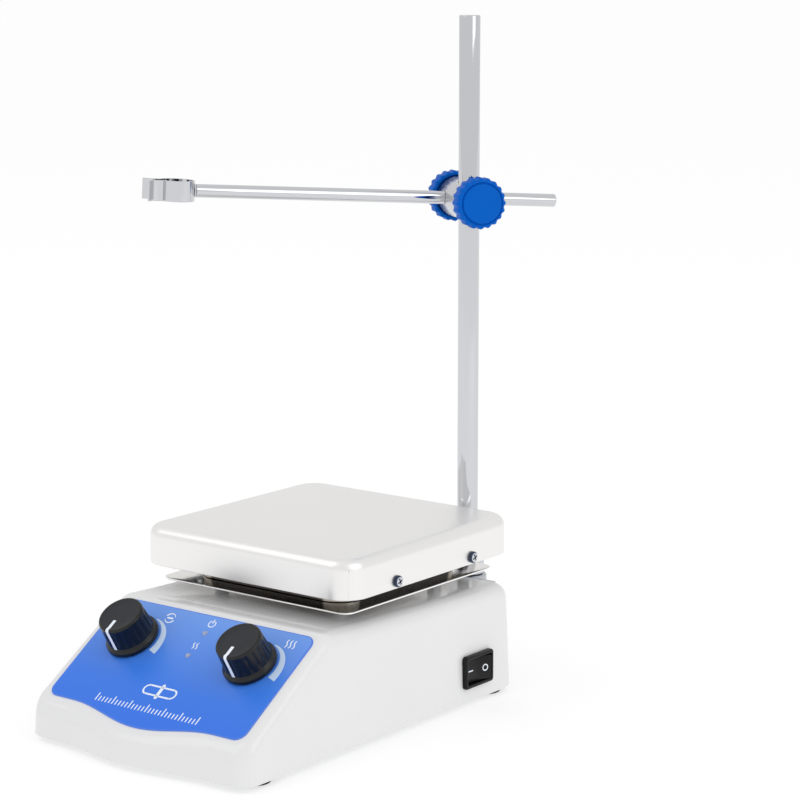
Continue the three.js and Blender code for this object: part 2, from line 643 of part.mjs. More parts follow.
// ---- Stirring drive under the plate ------------------------------------------------------------
const MOTOR = { r: 18, z0: 15, z1: 46 };
function driveMotor() {
  const { r, z0, z1 } = MOTOR;
  const can = turned([[0, z0], [r - 2, z0], [r, z0 + 2], [r, z1], [0, z1]], 32);
  const nose = rod(6, z1 - 1, z1 + 2.5, 20);
  return can.add(nose).subtract(rod(SHAFT.r + 0.05, z1 - 12, z1 + 5, 20));
}
const SHAFT = { r: 2.5, z1: 66 };
const driveShaft = () => rod(SHAFT.r, MOTOR.z1 - 11.5, SHAFT.z1, 20);

const RISER_R = 4;
// Plate under the deck that carries the motor, with four risers to the deck.
function motorBracket() {
  const z0 = MOTOR.z1 + GAP;
  let plate = prism(roundedRect(29, 29, 6, 3), z0, z0 + 1.6);
  for (const [x, y] of DECK_SCREWS) {
    const underDeck = deckZ(y + RISER_R) - CASE_WALL - GAP;
    plate = plate.add(moved(rod(RISER_R, z0, underDeck, 16), x, y, 0));
    plate = plate.subtract(moved(rod(1.6, 40, 60, 12), x, y, 0));
  }
  return plate.subtract(rod(6.3, 40, 60, 24));
}

const MAGNET_BAR = { half: 31, halfW: 8, z0: 59.6, z1: 64.2 };
const MAGNET_X = 22;
function magnetHolder() {
  const { half, halfW, z0, z1 } = MAGNET_BAR;
  let bar = prism(roundedRect(half, halfW, 7.5, 5), z0, z1);
  bar = bar.add(rod(9, z0, z1 + 3.5, 24));
  for (const x of [-MAGNET_X, MAGNET_X]) {
    bar = bar.subtract(moved(rod(6.3, z1 - 2.6, z1 + 5, 20), x, 0, 0));
  }
  return bar.subtract(rod(SHAFT.r + 0.05, 50, 80, 20));
}
const magnet = () => rod(6, MAGNET_BAR.z1 - 2.3, MAGNET_BAR.z1 + 4, 20);

add("drive_motor", driveMotor(), ZINC());
add("motor_bracket", motorBracket(), ZINC());
add("drive_shaft", driveShaft(), CHROME());
add("magnet_holder", magnetHolder(), CAST_ALUMINIUM());
add("magnet_a", magnet(), MAGNET(), placed(-MAGNET_X, 0, 0));
add("magnet_b", magnet(), MAGNET(), placed(MAGNET_X, 0, 0));

// ---- Circuit board -----------------------------------------------------------------------------
function circuitBoard() {
  let board = box(BOARD.x0, BOARD.x1, BOARD.y0, BOARD.y1, BOARD_Z, BOARD_Z + 1.6);
  const top = BOARD_Z + 1.5;
  const blocks = [
    [-48, -38, -52, -40, 12],
    [-34, -24, -52, -36, 9],
    [-48, -36, -32, -16, 14],
    [-32, -24, -28, -12, 6],
  ];
  for (const [x0, x1, y0, y1, h] of blocks) {
    board = board.add(box(x0, x1, y0, y1, top, top + h));
  }
  for (const [x, y] of [[-30, -2], [-42, -5]]) {
    board = board.add(moved(rod(4, top, top + 14, 16), x, y, 0));
  }
  return board;
}
add("circuit_board", circuitBoard(), CIRCUIT());

// ---- Support rod and its bracket ---------------------------------------------------------------
const BRACKET_Y = CASE_REAR_Y + 0.2;
// Plate on the rear wall with an upright socket for the rod.
function rodBracket() {
  const { halfW, z0, z1, t, bossR } = BRACKET;
  const plate = box(ROD.x - halfW, ROD.x + halfW, BRACKET_Y, BRACKET_Y + t, z0, z1);
  const boss = moved(rod(bossR, z0, z1, 32), ROD.x, ROD.y, 0);
  const trimmed = boss.subtract(box(0, 60, 40, BRACKET_Y, 0, 60));
  const bore = moved(rod(ROD.d / 2 + 0.05, z0 + 2, 60, 32), ROD.x, ROD.y, 0);
  let bracket = plate.add(trimmed).subtract(bore);
  for (const x of BRACKET_SCREW_X) {
    bracket = bracket.subtract(moved(alongY(rod(2.1, 50, 80, 12)), x, 0, BRACKET_SCREW_Z));
  }
  return bracket;
}
// Round lock nut, chamfered at both ends.
function lockNut() {
  const low = BRACKET.z1 + GAP;
  const high = low + COLLAR.height;
  const { r } = COLLAR;
  const profile = [[0, low], [r - 0.6, low], [r, low + 0.6], [r, high - 0.6], [r - 0.6, high], [0, high]];
  return turned(profile, 36).subtract(rod(ROD.d / 2 + 0.05, 40, 60, 32));
}
function supportRod() {
  const r = ROD.d / 2;
  const low = BRACKET.z0 + 2.3;
  const high = ROD.top;
  const edge = 0.8;
  const foot = [[0, low], [r - edge, low], [r, low + edge]];
  const tip = [[r, high - edge], [r - edge, high], [0, high]];
  return turned([...foot, ...tip], 32);
}
add("rod_bracket", rodBracket(), ZINC());
BRACKET_SCREW_X.forEach((x, i) => {
  const headY = BRACKET_Y + BRACKET.t + GAP + 2;
  const screw = panScrew(7, 2, 3.6, 14).rotate([90, 0, 0]);
  add(`bracket_screw_${["left", "right"][i]}`, screw, ZINC(), placed(x, headY, BRACKET_SCREW_Z));
});
const onRod = placed(ROD.x, ROD.y, 0);
add("rod_lock_nut", lockNut(), ZINC(), onRod);
add("support_rod", supportRod(), CHROME(), onRod);

// ---- Boss head, clamp screws and arm -----------------------------------------------------------
// In the boss head's frame +Z is the clamp axis and faces the front knob, and the support rod runs
// along +Y. The support rod passes in front of the frame's middle and the arm behind it.
const ROD_SEAT = 4.6; // support rod's place on the clamp axis
const ARM_SEAT = -4.6;
const BOSS = { r: 9.3, back: -12.2, front: 13 };
const bossSpot = placed(ROD.x, ROD.y, BOSS_Z);
bossSpot.rotation.set(Math.PI / 2, 0, CLAMP_AZIMUTH, "ZYX");
const clampFrame = placed(0, 0, -ROD_SEAT, bossSpot);

// Cross holes: along Y for the support rod, along X (tilted with the arm) for the arm.
function bossBody() {
  const { r, back, front } = BOSS;
  const profile = [[0, back], [r - 1, back], [r, back + 1], [r, front - 1], [r - 1, front], [0, front]];
  let body = turned(profile, 32);
  const rodHole = rod(ROD.d / 2 + 0.15, -30, 30, 28).rotate([90, 0, 0]);
  const armHole = alongX(rod(ARM_D / 2 + 0.15, -30, 30, 24)).rotate([0, 0, ARM_ROLL]);
  body = body.subtract(moved(rodHole, 0, 0, ROD_SEAT)).subtract(moved(armHole, 0, 0, ARM_SEAT));
  const tapped = rod(3.1, -40, 40, 20);
  return body.subtract(tapped);
}
const ARM_ROLL = -THREE.MathUtils.radToDeg(ARM_TILT);

// Scalloped thumb knob, hollow on the side that faces the boss head; +Z is outwards.
const KNOB_T = 9;
function clampKnob() {
  const r = CLAMP_KNOB_D / 2;
  const lobes = 20;
  const points = [];
  const steps = lobes * 3;
  for (let i = 0; i < steps; i += 1) {
    const a = (2 * Math.PI * i) / steps;
    const radius = r - 0.35 + 0.35 * Math.cos(lobes * a);
    points.push([radius * Math.cos(a), radius * Math.sin(a)]);
  }
  const rim = prism(points, 0, KNOB_T);
  const edge = turned(
    [
      [0, -1],
      [r + 1, -1],
      [r + 1, KNOB_T - 2.4],
      [r - 0.9, KNOB_T - 0.6],
      [r - 2.2, KNOB_T - 0.1],
      [9.6, KNOB_T - 0.6],
      [9.2, KNOB_T],
      [0, KNOB_T],
    ],
    32,
  );
  const web = KNOB_T - 2.6;
  const hollow = turned([[5, -1], [r - 2.2, -1], [r - 2.6, web], [5, web], [5, -1]], 32);
  return rim.intersect(edge).subtract(hollow).subtract(rod(3.25, -2, KNOB_T - 2.3, 20));
}
const SCREW_HEAD_Z = KNOB_T - 2.7; // the clamp screw's end inside its knob
// Clamp screw in its knob's frame: from inside the knob down to `tip`, with a washer.
const clampScrew = (tip) => rod(2.95, tip, SCREW_HEAD_Z, 20).add(rod(4.6, -1.5, -0.2, 20));
const FRONT_KNOB_Z = 14.9;
const REAR_KNOB_Z = -14.1;
const FRONT_TIP = ROD_SEAT + ROD.d / 2 + GAP - FRONT_KNOB_Z; // ends against the support rod
const REAR_TIP = REAR_KNOB_Z - (ARM_SEAT - ARM_D / 2 - GAP); // ends against the arm
add("boss_head", bossBody(), ZINC(), clampFrame);
const frontKnob = placed(0, 0, FRONT_KNOB_Z, clampFrame);
add("front_clamp_knob", clampKnob(), BLUE_PLASTIC(), frontKnob);
add("front_clamp_screw", clampScrew(FRONT_TIP), ZINC(), frontKnob);
const rearKnob = placed(0, 0, REAR_KNOB_Z, clampFrame);
rearKnob.rotation.y = Math.PI;
add("rear_clamp_knob", clampKnob(), BLUE_PLASTIC(), rearKnob);
add("rear_clamp_screw", clampScrew(REAR_TIP), ZINC(), rearKnob);

// The arm in its own frame runs along -X from the boss head to the clip.
const armFrame = placed(0, 0, ARM_SEAT, clampFrame);
armFrame.rotation.z = -ARM_TILT;
const armRod = () => {
  const r = ARM_D / 2;
  const a = -ARM_LEFT;
  const b = ARM_RIGHT;
  return alongX(turned([[0, a], [r, a], [r, b - 0.6], [r - 0.6, b], [0, b]], 24));
};
add("arm_rod", armRod(), CHROME(), armFrame);

// Spring clip: one bent strip, its outline seen along the strip's width. A ring open towards the
// free end, with two flared lips.
const CLIP = { r: 7.8, t: 0.8, height: 9.2, mouth: 62, lip: 6 };
function springClip() {
  const open = THREE.MathUtils.degToRad(CLIP.mouth / 2);
  const steps = 26;
  const middle = [];
  for (let i = 0; i <= steps; i += 1) {
    const a = Math.PI - open - ((2 * Math.PI - 2 * open) * i) / steps;
    middle.push(new THREE.Vector2(CLIP.r * Math.cos(a), CLIP.r * Math.sin(a)));
  }
  const lipEnd = (sign) => new THREE.Vector2(-CLIP.r - CLIP.lip, sign * 6.6);
  const path = [lipEnd(1), ...middle, lipEnd(-1)];
  const left = [];
  const right = [];
  path.forEach((p, i) => {
    const before = path[Math.max(i - 1, 0)];
    const after = path[Math.min(i + 1, path.length - 1)];
    const along = after.clone().sub(before).normalize();
    const side = new THREE.Vector2(-along.y, along.x).multiplyScalar(CLIP.t / 2);
    left.push([p.x + side.x, p.y + side.y]);
    right.push([p.x - side.x, p.y - side.y]);
  });
  const outline = [...left, ...right.reverse()];
  return prism(outline, -CLIP.height / 2, CLIP.height / 2);
}
const clipFrame = placed(-ARM_LEFT - CLIP.r - CLIP.t / 2 - GAP, 0, 0, armFrame);
clipFrame.rotation.x = Math.PI / 2;
add("spring_clip", springClip(), CHROME(), clipFrame);

export default model;
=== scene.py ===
"""Looks of the magnetic stirrer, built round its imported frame. Lengths are millimetres inside the
mesh builders and metres in Blender; the frame's origin is the middle of the plate's top face."""

import json
from math import atan, atan2, copysign, cos, hypot, pi, radians, sin, sqrt, tan

import bmesh
import bpy
from mathutils import Matrix, Vector


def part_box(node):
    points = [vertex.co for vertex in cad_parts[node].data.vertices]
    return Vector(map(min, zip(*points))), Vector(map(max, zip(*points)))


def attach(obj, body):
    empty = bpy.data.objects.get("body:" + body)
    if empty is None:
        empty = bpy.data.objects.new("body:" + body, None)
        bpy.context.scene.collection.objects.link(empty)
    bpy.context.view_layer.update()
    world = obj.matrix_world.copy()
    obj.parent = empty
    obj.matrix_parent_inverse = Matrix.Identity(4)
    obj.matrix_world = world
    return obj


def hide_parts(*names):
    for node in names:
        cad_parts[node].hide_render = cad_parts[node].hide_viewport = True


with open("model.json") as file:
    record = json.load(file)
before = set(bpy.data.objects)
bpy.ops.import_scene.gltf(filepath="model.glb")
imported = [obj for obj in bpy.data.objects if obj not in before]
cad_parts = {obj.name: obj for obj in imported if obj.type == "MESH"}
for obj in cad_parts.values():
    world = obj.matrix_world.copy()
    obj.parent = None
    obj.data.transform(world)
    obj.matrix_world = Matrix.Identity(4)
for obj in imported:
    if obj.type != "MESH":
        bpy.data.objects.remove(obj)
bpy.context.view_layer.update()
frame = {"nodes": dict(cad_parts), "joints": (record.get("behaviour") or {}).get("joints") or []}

MM = 0.001
TAU = 2 * pi


# ---- Places, all from the frame ----
def low(node):
    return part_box(node)[0] / MM


def high(node):
    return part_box(node)[1] / MM


def middle(node):
    return (low(node) + high(node)) / 2


def box(node):
    return low(node), high(node)


def half_width(node):
    return (high(node).x - low(node).x) / 2


JOINT = {j["name"]: j for j in frame["joints"]}
UP = Vector((0, 0, 1))
UPRIGHT = Matrix.Scale(MM, 4)


def place(origin, z_axis, up=UP):
    """Local millimetres to the frame's metres: +Z along z_axis, +X along up x z_axis."""
    z = Vector(z_axis).normalized()
    x = Vector(up).cross(z).normalized()
    turn = Matrix((x, z.cross(x), z)).transposed().to_4x4()
    return Matrix.Translation(Vector(origin) * MM) @ turn @ UPRIGHT


def standing(node, z=0):
    """Upright local frame over the middle of a node, at that height."""
    at = middle(node)
    return Matrix.Translation(Vector((at.x, at.y, z)) * MM) @ UPRIGHT


def joint_at(name):
    return Vector(JOINT[name]["pos_m"]) / MM


def extent(node, at, axis):
    """How far a node reaches along an axis, from a point on it."""
    along = [(v.co / MM - at).dot(axis) for v in frame["nodes"][node].data.vertices]
    return min(along), max(along)


GROUND = low("foot_front_left").z
CASE_LO, CASE_HI = box("upper_casing")
DECK_Z = CASE_HI.z
LABEL_LO, LABEL_HI = box("control_label")


# ---- Mesh builders ----
def lathe(profile, segments=64, ripple=None):
    """Skin of revolution about Z. ripple(angle, index) is added to the radius."""
    verts, rows = [], []
    for k, (r, z) in enumerate(profile):
        if r < 1e-6:
            rows.append([len(verts)] * segments)
            verts.append(Vector((0, 0, z)))
            continue
        rows.append(list(range(len(verts), len(verts) + segments)))
        for i in range(segments):
            a = TAU * i / segments
            out = r + (ripple(a, k) if ripple else 0)
            verts.append(Vector((out * cos(a), out * sin(a), z)))
    faces = []
    for a, b in zip(rows, rows[1:]):
        for i in range(segments):
            j = (i + 1) % segments
            face = [a[i], a[j], b[j], b[i]]
            face = [v for n, v in enumerate(face) if v != face[n - 1]]
            if len(face) > 2:
                faces.append(face)
    return verts, faces


def cylinder(r, z0, z1, segments):
    return lathe([(0, z0), (r, z0), (r, z1), (0, z1)], segments)


def tube(r_in, r_out, z0, z1, segments):
    return lathe([(r_in, z0), (r_out, z0), (r_out, z1), (r_in, z1), (r_in, z0)], segments)


def quarter(steps, first=0):
    """Angles from first steps to all steps of a right angle."""
    return [pi / 2 * k / steps for k in range(first, steps + 1)]


def rounding(r, steps, first=0):
    """(inset, depth below the face) round an edge, from the wall to the face."""
    return [(r * (1 - cos(a)), r * (1 - sin(a))) for a in quarter(steps, first)]


def rectangle(hx, hy, z):
    return [(-hx, -hy, z), (hx, -hy, z), (hx, hy, z), (-hx, hy, z)]


def ring_stack(rings, caps=True):
    """Skin through rings of equal count; caps close its two ends with one flat face each."""
    n = len(rings[0])
    verts = [Vector(p) for ring in rings for p in ring]
    faces = []
    for k in range(len(rings) - 1):
        for i in range(n):
            j = (i + 1) % n
            faces.append([k * n + i, k * n + j, (k + 1) * n + j, (k + 1) * n + i])
    if caps:
        faces.append(list(range(n))[::-1])
        faces.append([(len(rings) - 1) * n + i for i in range(n)])
    return verts, faces


def rounded_rect(hx, hy, r, steps=8):
    points = []
    for sx, sy, start in ((1, -1, -90), (1, 1, 0), (-1, 1, 90), (-1, -1, 180)):
        for i in range(steps + 1):
            a = radians(start + 90 * i / steps)
            points.append((sx * (hx - r) + r * cos(a), sy * (hy - r) + r * sin(a)))
    return points


def rect_ring(hx, hy, r, z, steps):
    return [(x, y, z) for x, y in rounded_rect(hx, hy, r, steps)]


def extruded(outline, z0, z1):
    return ring_stack([[(x, y, z) for x, y in outline] for z in (z0, z1)])


def slab(hx, hy, r, z0, z1, edge_low=0.0, edge_high=0.0, steps=8, edge_steps=4):
    """Rounded-rectangle block with rounded bottom and top edges."""
    levels = [(0, z0)]
    if edge_low:
        levels = [(i, z0 + z) for z, i in rounding(edge_low, edge_steps)]
    if edge_high:
        levels += [(i, z1 - z) for i, z in rounding(edge_high, edge_steps)]
    else:
        levels.append((0, z1))
    return ring_stack([rect_ring(hx - i, hy - i, max(r - i, 0.05), z, steps) for i, z in levels])


def block(x0, x1, y0, y1, z0, z1, edge=0.0, corner=None):
    hx, hy = (x1 - x0) / 2, (y1 - y0) / 2
    corner = corner if corner is not None else max(edge, 0.05)
    verts, faces = slab(hx, hy, corner, z0, z1, edge, edge, 4, 3)
    shift = Vector(((x0 + x1) / 2, (y0 + y1) / 2, 0))
    return [v + shift for v in verts], faces


def sweep(path, section):
    """Skin of a flat section [(side, up)] carried along a path of points lying in XY."""
    rings = []
    for i, p in enumerate(path):
        along = (path[min(i + 1, len(path) - 1)] - path[max(i - 1, 0)]).normalized()
        side = Vector((-along.y, along.x, 0))
        rings.append([p + side * s + UP * u for s, u in section])
    return ring_stack(rings)


def joined(*shapes):
    verts, faces = [], []
    for v, f in shapes:
        base = len(verts)
        verts += v
        faces += [[i + base for i in face] for face in f]
    return verts, faces


def turned(shape, matrix):
    return [matrix @ v for v in shape[0]], shape[1]


def added(name, data):
    """A new object in the scene."""
    obj = bpy.data.objects.new(name, data)
    bpy.context.scene.collection.objects.link(obj)
    return obj


def piece(name, shape, material, body, stands_for=(), where=UPRIGHT, sharp=32, flat=False):
    """One Blender object from a shape in local millimetres."""
    mesh = bpy.data.meshes.new(name)
    mesh.from_pydata([where @ v for v in shape[0]], [], shape[1])
    bm = bmesh.new()
    bm.from_mesh(mesh)
    bmesh.ops.remove_doubles(bm, verts=bm.verts, dist=1e-7)
    bmesh.ops.recalc_face_normals(bm, faces=bm.faces)
    bm.to_mesh(mesh)
    bm.free()
    if not flat:
        mesh.shade_smooth()
        mesh.set_sharp_from_angle(angle=radians(sharp))
    obj = added(name, mesh)
    for m in material if isinstance(material, (list, tuple)) else [material]:
        mesh.materials.append(m)
    if body:
        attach(obj, body)
    if stands_for:
        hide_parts(*stands_for)
    return obj


def carve(obj, cutters, sharp=32):
    """Cuts closed shapes (in obj's own space) out of obj and bakes the result into its mesh."""
    helpers = []
    for k, (shape, where) in enumerate(cutters):
        helper = piece(f"cutter_{k}", shape, [], None, where=where)
        cut = obj.modifiers.new(f"cut_{k}", "BOOLEAN")
        cut.operation = "DIFFERENCE"
        cut.solver = "EXACT"
        cut.object = helper
        helpers.append(helper)
    deps = bpy.context.evaluated_depsgraph_get()
    baked = bpy.data.meshes.new_from_object(obj.evaluated_get(deps))
    obj.modifiers.clear()
    obj.data = baked
    baked.shade_smooth()
    baked.set_sharp_from_angle(angle=radians(sharp))
    for helper in helpers:
        bpy.data.objects.remove(helper)


def bevel(obj, width, segments=3, angle=32):
    mod = obj.modifiers.new("edge", "BEVEL")
    mod.width = width * MM
    mod.segments = segments
    mod.limit_method = "ANGLE"
    mod.angle_limit = radians(angle)
    mod.harden_normals = False


# ---- Materials ----
def linear(rgb):
    """0-255 screen colour to Blender's linear colour."""
    out = []
    for c in rgb:
        c /= 255
        out.append(c / 12.92 if c <= 0.04045 else ((c + 0.055) / 1.055) ** 2.4)
    return (*out, 1.0)


class Nodes:
    """Short spellings for a material's node tree."""

    def __init__(self, name):
        self.material = bpy.data.materials.new(name)
        self.material.use_nodes = True
        self.tree = self.material.node_tree
        self.bsdf = self.tree.nodes["Principled BSDF"]

    def new(self, kind, **values):
        node = self.tree.nodes.new(kind)
        for key, value in values.items():
            if hasattr(node, key):
                setattr(node, key, value)
            else:
                node.inputs[key.replace("_", " ")].default_value = value
        return node

    def link(self, out, into):
        self.tree.links.new(out, into)

    def set(self, socket, value):
        self.bsdf.inputs[socket].default_value = value

    def drive(self, socket, out):
        self.link(out, self.bsdf.inputs[socket])

    def axes(self):
        """Object coordinates, one output for each of X, Y and Z."""
        split = self.new("ShaderNodeSeparateXYZ")
        self.link(self.new("ShaderNodeTexCoord").outputs["Object"], split.inputs["Vector"])
        return split.outputs

    def drift(self, base, spread, scale, detail, where):
        """Base colour that wanders a little darker and lighter."""
        stops = [(0.3, shade(base, 1 - spread)), (0.7, shade(base, 1 + spread))]
        self.drive("Base Color", self.ramp(self.noise(scale, where, detail), stops))

    def place(self, stretch=(1, 1, 1), turn=(0, 0, 0)):
        coords = self.new("ShaderNodeTexCoord")
        mapping = self.new("ShaderNodeMapping")
        mapping.inputs["Scale"].default_value = stretch
        mapping.inputs["Rotation"].default_value = turn
        self.link(coords.outputs["Object"], mapping.inputs["Vector"])
        return mapping.outputs["Vector"]

    def noise(self, scale, where, detail=3.0, rough=0.5):
        node = self.new("ShaderNodeTexNoise", Scale=scale, Detail=detail, Roughness=rough)
        self.link(where, node.inputs["Vector"])
        return node.outputs["Fac"]

    def span(self, value, lo, hi, from_lo=0.3, from_hi=0.7):
        node = self.new("ShaderNodeMapRange")
        for key, v in (("From Min", from_lo), ("From Max", from_hi), ("To Min", lo), ("To Max", hi)):
            node.inputs[key].default_value = v
        self.link(value, node.inputs["Value"])
        return node.outputs["Result"]

    def ramp(self, value, stops):
        node = self.new("ShaderNodeValToRGB")
        band = node.color_ramp
        band.elements[0].position, band.elements[0].color = stops[0]
        band.elements[1].position, band.elements[1].color = stops[-1]
        for position, colour in stops[1:-1]:
            band.elements.new(position).color = colour
        self.link(value, node.inputs["Fac"])
        return node.outputs["Color"]

    def bump(self, height, strength, distance):
        node = self.new("ShaderNodeBump")
        node.inputs["Strength"].default_value = strength
        node.inputs["Distance"].default_value = distance
        self.link(height, node.inputs["Height"])
        self.drive("Normal", node.outputs["Normal"])


def shade(colour, factor):
    return (*[min(c * factor, 1.0) for c in colour[:3]], 1.0)


def moulded(name, rgb, rough=(0.3, 0.4), spread=0.04, grain=900, depth=0.00004, coat=0.0, specular=0.5):
    """Moulded plastic: faint colour and gloss drift, and a fine pebble in the surface."""
    n = Nodes(name)
    where = n.place()
    n.drift(linear(rgb), spread, 28, 2, where)
    n.drive("Roughness", n.span(n.noise(90, where, 4), *rough))
    n.set("Specular IOR Level", specular)
    n.set("Coat Weight", coat)
    n.set("Coat Roughness", 0.08)
    n.bump(n.noise(grain, where, 2), 0.35, depth)
    return n.material


def metal(name, rgb, rough=(0.2, 0.35), spread=0.05, grain=600, depth=0.00003, strength=0.3, stretch=(1, 1, 1)):
    """Bare or plated metal with its grain drawn out along one direction."""
    n = Nodes(name)
    grainy = n.noise(grain, n.place(stretch), 4, 0.6)
    n.drift(linear(rgb), spread, 18, 3, n.place())
    n.drive("Roughness", n.span(grainy, *rough))
    n.set("Metallic", 1.0)
    n.bump(grainy, strength, depth)
    return n.material


def label_film(name):
    """Printed blue film: deeper blue towards the lip, lighter towards the top edge as a painted sheen, under a
    clear satin face.
    """
    n = Nodes(name)
    along = n.new("ShaderNodeMapRange")
    along.inputs["From Min"].default_value = LABEL_LO.y * MM
    along.inputs["From Max"].default_value = LABEL_HI.y * MM
    n.link(n.axes()["Y"], along.inputs["Value"])
    # Painted sheen: the blues lighten towards the film's top edge.
    blues_with_painted_sheen = ((0.0, (22, 108, 229)), (0.35, (40, 118, 232)), (0.75, (84, 140, 234)), (1.0, (104, 154, 235)))
    stops = [(at, linear(rgb)) for at, rgb in blues_with_painted_sheen]
    n.drive("Base Color", n.ramp(along.outputs["Result"], stops))
    where = n.place()
    n.drive("Roughness", n.span(n.noise(140, where, 3), 0.28, 0.36))
    n.bump(n.noise(1600, where, 2), 0.15, 0.00002)
    return n.material


def clear_lens(name, rgb):
    n = Nodes(name)
    where = n.place()
    base = linear(rgb)
    n.drive("Base Color", n.ramp(n.noise(500, where, 2), [(0.3, shade(base, 0.9)), (0.7, base)]))
    n.set("Roughness", 0.06)
    n.set("Transmission Weight", 0.55)
    n.set("IOR", 1.49)
    n.bump(n.noise(900, where, 2), 0.1, 0.00002)
    return n.material


def housing_steel(name):
    """Blackened sheet with an upright grain, with a painted reflection lightening it where it bends round the
    corners.
    """
    n = Nodes(name)
    axes = n.axes()
    sides = []
    for axis in ("X", "Y"):
        size = n.new("ShaderNodeMath", operation="ABSOLUTE")
        n.link(axes[axis], size.inputs[0])
        sides.append(size.outputs[0])
    nearer = n.new("ShaderNodeMath", operation="MINIMUM")
    n.link(sides[0], nearer.inputs[0])
    n.link(sides[1], nearer.inputs[1])
    # Painted reflection: the colour turns bright where the sheet bends round its corners.
    flat_end = (high("heater_housing").x - HOUSING_CORNER_R) * MM
    painted_reflection_mask = n.span(nearer.outputs[0], 0.0, 1.0, flat_end, flat_end + 0.0015)
    dark, painted_reflection_tone = linear((88, 85, 82)), linear((205, 198, 188))
    n.drive("Base Color", n.ramp(painted_reflection_mask, [(0.0, dark), (1.0, painted_reflection_tone)]))
    grain = n.noise(420, n.place((6, 6, 0.4)), 4, 0.6)
    n.drive("Roughness", n.span(grain, 0.25, 0.5))
    n.set("Metallic", 1.0)
    n.bump(grain, 0.5, 0.00004)
    return n.material


HOUSING_CORNER_R = 12
# Dark blued colour standing in for the dark reflection on a screw head's skirt and the shade in its cross
# recess.
SCREW_PAINTED_SHADE_AND_REFLECTION = metal("screw_painted_shade_and_reflection", (58, 68, 86), (0.2, 0.3), 0.05, 900, 0.00001, 0.0)
# Near-white metal for the tray's rim: a painted highlight where the edge catches the light.
TRAY_EDGE_PAINTED_HIGHLIGHT = metal("tray_edge_painted_highlight", (252, 252, 252), (0.25, 0.35), 0.01, 900, 0.00001, 0.0)
WHITE = moulded("white_gloss_plastic", (229, 229, 230), (0.07, 0.12), 0.006, 1400, 0.000004, 0.0)
GREY = moulded("grey_plastic", (186, 188, 190), (0.5, 0.6), 0.03, 700, 0.00006)
RUBBER = moulded("foot_rubber", (28, 28, 29), (0.75, 0.9), 0.1, 500, 0.0001)
FILM = label_film("blue_label_film")
FILM_EDGE = moulded("label_edge", (70, 122, 226), (0.35, 0.45), 0.05, 900, 0.00002)
INK = moulded("white_print", (236, 244, 255), (0.4, 0.5), 0.01, 1500, 0.00001)
DIAL_INK = moulded("pale_blue_print", (200, 222, 250), (0.4, 0.5), 0.02, 1500, 0.00001)
KNOB_SIDE = moulded("knob_satin_black", (9, 11, 14), (0.24, 0.34), 0.12, 700, 0.00002, 0.0, 0.4)
KNOB_TOP = moulded("knob_matt_top", (39, 41, 45), (0.55, 0.65), 0.05, 1300, 0.00008, 0.0, 0.3)
SWITCH_BLACK = moulded("switch_black", (7, 7, 8), (0.32, 0.42), 0.1, 900, 0.00004, 0.0, 0.25)
INLET_BLACK = moulded("inlet_black", (24, 24, 26), (0.4, 0.5), 0.1, 800, 0.00005)
CLAMP_BLUE = moulded("clamp_blue", (0, 92, 190), (0.36, 0.46), 0.05, 600, 0.00003, 0.0, 0.06)
POT_BODY = moulded("pot_body", (52, 62, 58), (0.5, 0.6), 0.08)
CIRCUIT = moulded("circuit_board", (28, 96, 58), (0.35, 0.5), 0.15, 400)
WOOL = moulded("mineral_wool", (226, 219, 202), (0.85, 0.95), 0.1, 260, 0.0004)
SATIN_STEEL = metal("satin_steel", (241, 240, 239), (0.32, 0.38), 0.008, 1800, 0.00001, 0.15)
BRUSHED = housing_steel("brushed_steel")
POLISHED = metal("polished_steel", (232, 230, 226), (0.08, 0.16), 0.03, 900, 0.00001, 0.1)
CHROME = metal("chrome_rod", (206, 207, 210), (0.03, 0.06), 0.01, 900, 0.000002, 0.05, (1, 1, 0.02))
PLATED = metal("plated_screw", (205, 210, 218), (0.14, 0.24), 0.06, 1200, 0.00002)
ZINC = metal("zinc_plate", (188, 190, 194), (0.28, 0.42), 0.08, 500, 0.00005)
BOSS_METAL = metal("boss_metal", (206, 208, 212), (0.2, 0.32), 0.05, 700, 0.00004)
CAST = metal("cast_aluminium", (160, 161, 163), (0.45, 0.6), 0.1, 350, 0.0002, 0.6)
MAGNET = metal("magnet", (82, 83, 86), (0.3, 0.45), 0.1)
BRASS = metal("contact_brass", (214, 186, 120), (0.2, 0.3), 0.06)
LENS = clear_lens("lamp_lens", (228, 236, 250))
GLASS = clear_lens("fuse_glass", (232, 240, 242))


# ---- Casing ----
CASE_BOTTOM = CASE_LO.z
CASE_HALF_W = CASE_HI.x
CASE_REAR = CASE_HI.y
BOW_DEPTH = 5.6
CASE_FRONT = CASE_LO.y + BOW_DEPTH
BOW_HALF = 44
CORNER_R = 9
DRAFT = 0.035
BUSHING_HOLE_R, LAMP_HOLE_R = 4.4, 1.8
WALL = 2.5
SLOPE = radians(33.56)
DECK_FALL = 0.026  # the deck runs down towards the rear, mm per mm
LABEL_LIFT = 0.1  # how far the film's back stands off the panel
FILM_T = 0.4
FILM_TOP = LABEL_LIFT + FILM_T
NORMAL = Vector((0, -sin(SLOPE), cos(SLOPE)))
# The point of the panel's plane under the middle of the film's top edge.
PANEL_TOP = Vector((0, LABEL_HI.y + LABEL_LIFT * sin(SLOPE), LABEL_HI.z - FILM_TOP * cos(SLOPE)))
CREASE_Y = PANEL_TOP.y + (DECK_Z - PANEL_TOP.z) / tan(SLOPE)
CREASE_W = 3.5  # half the width of the soft crease
EDGE_R_DECK, EDGE_R_PANEL = 7.0, 5.0
EDGE_BLEND = 12  # half the length over which the edge radius changes
CORNER_STEPS = 10
WALL_ROWS_FRONT, WALL_ROWS_REAR = (-116, -108, -100, -92, -84), (-58, -40, -20, 0, 20, 40)


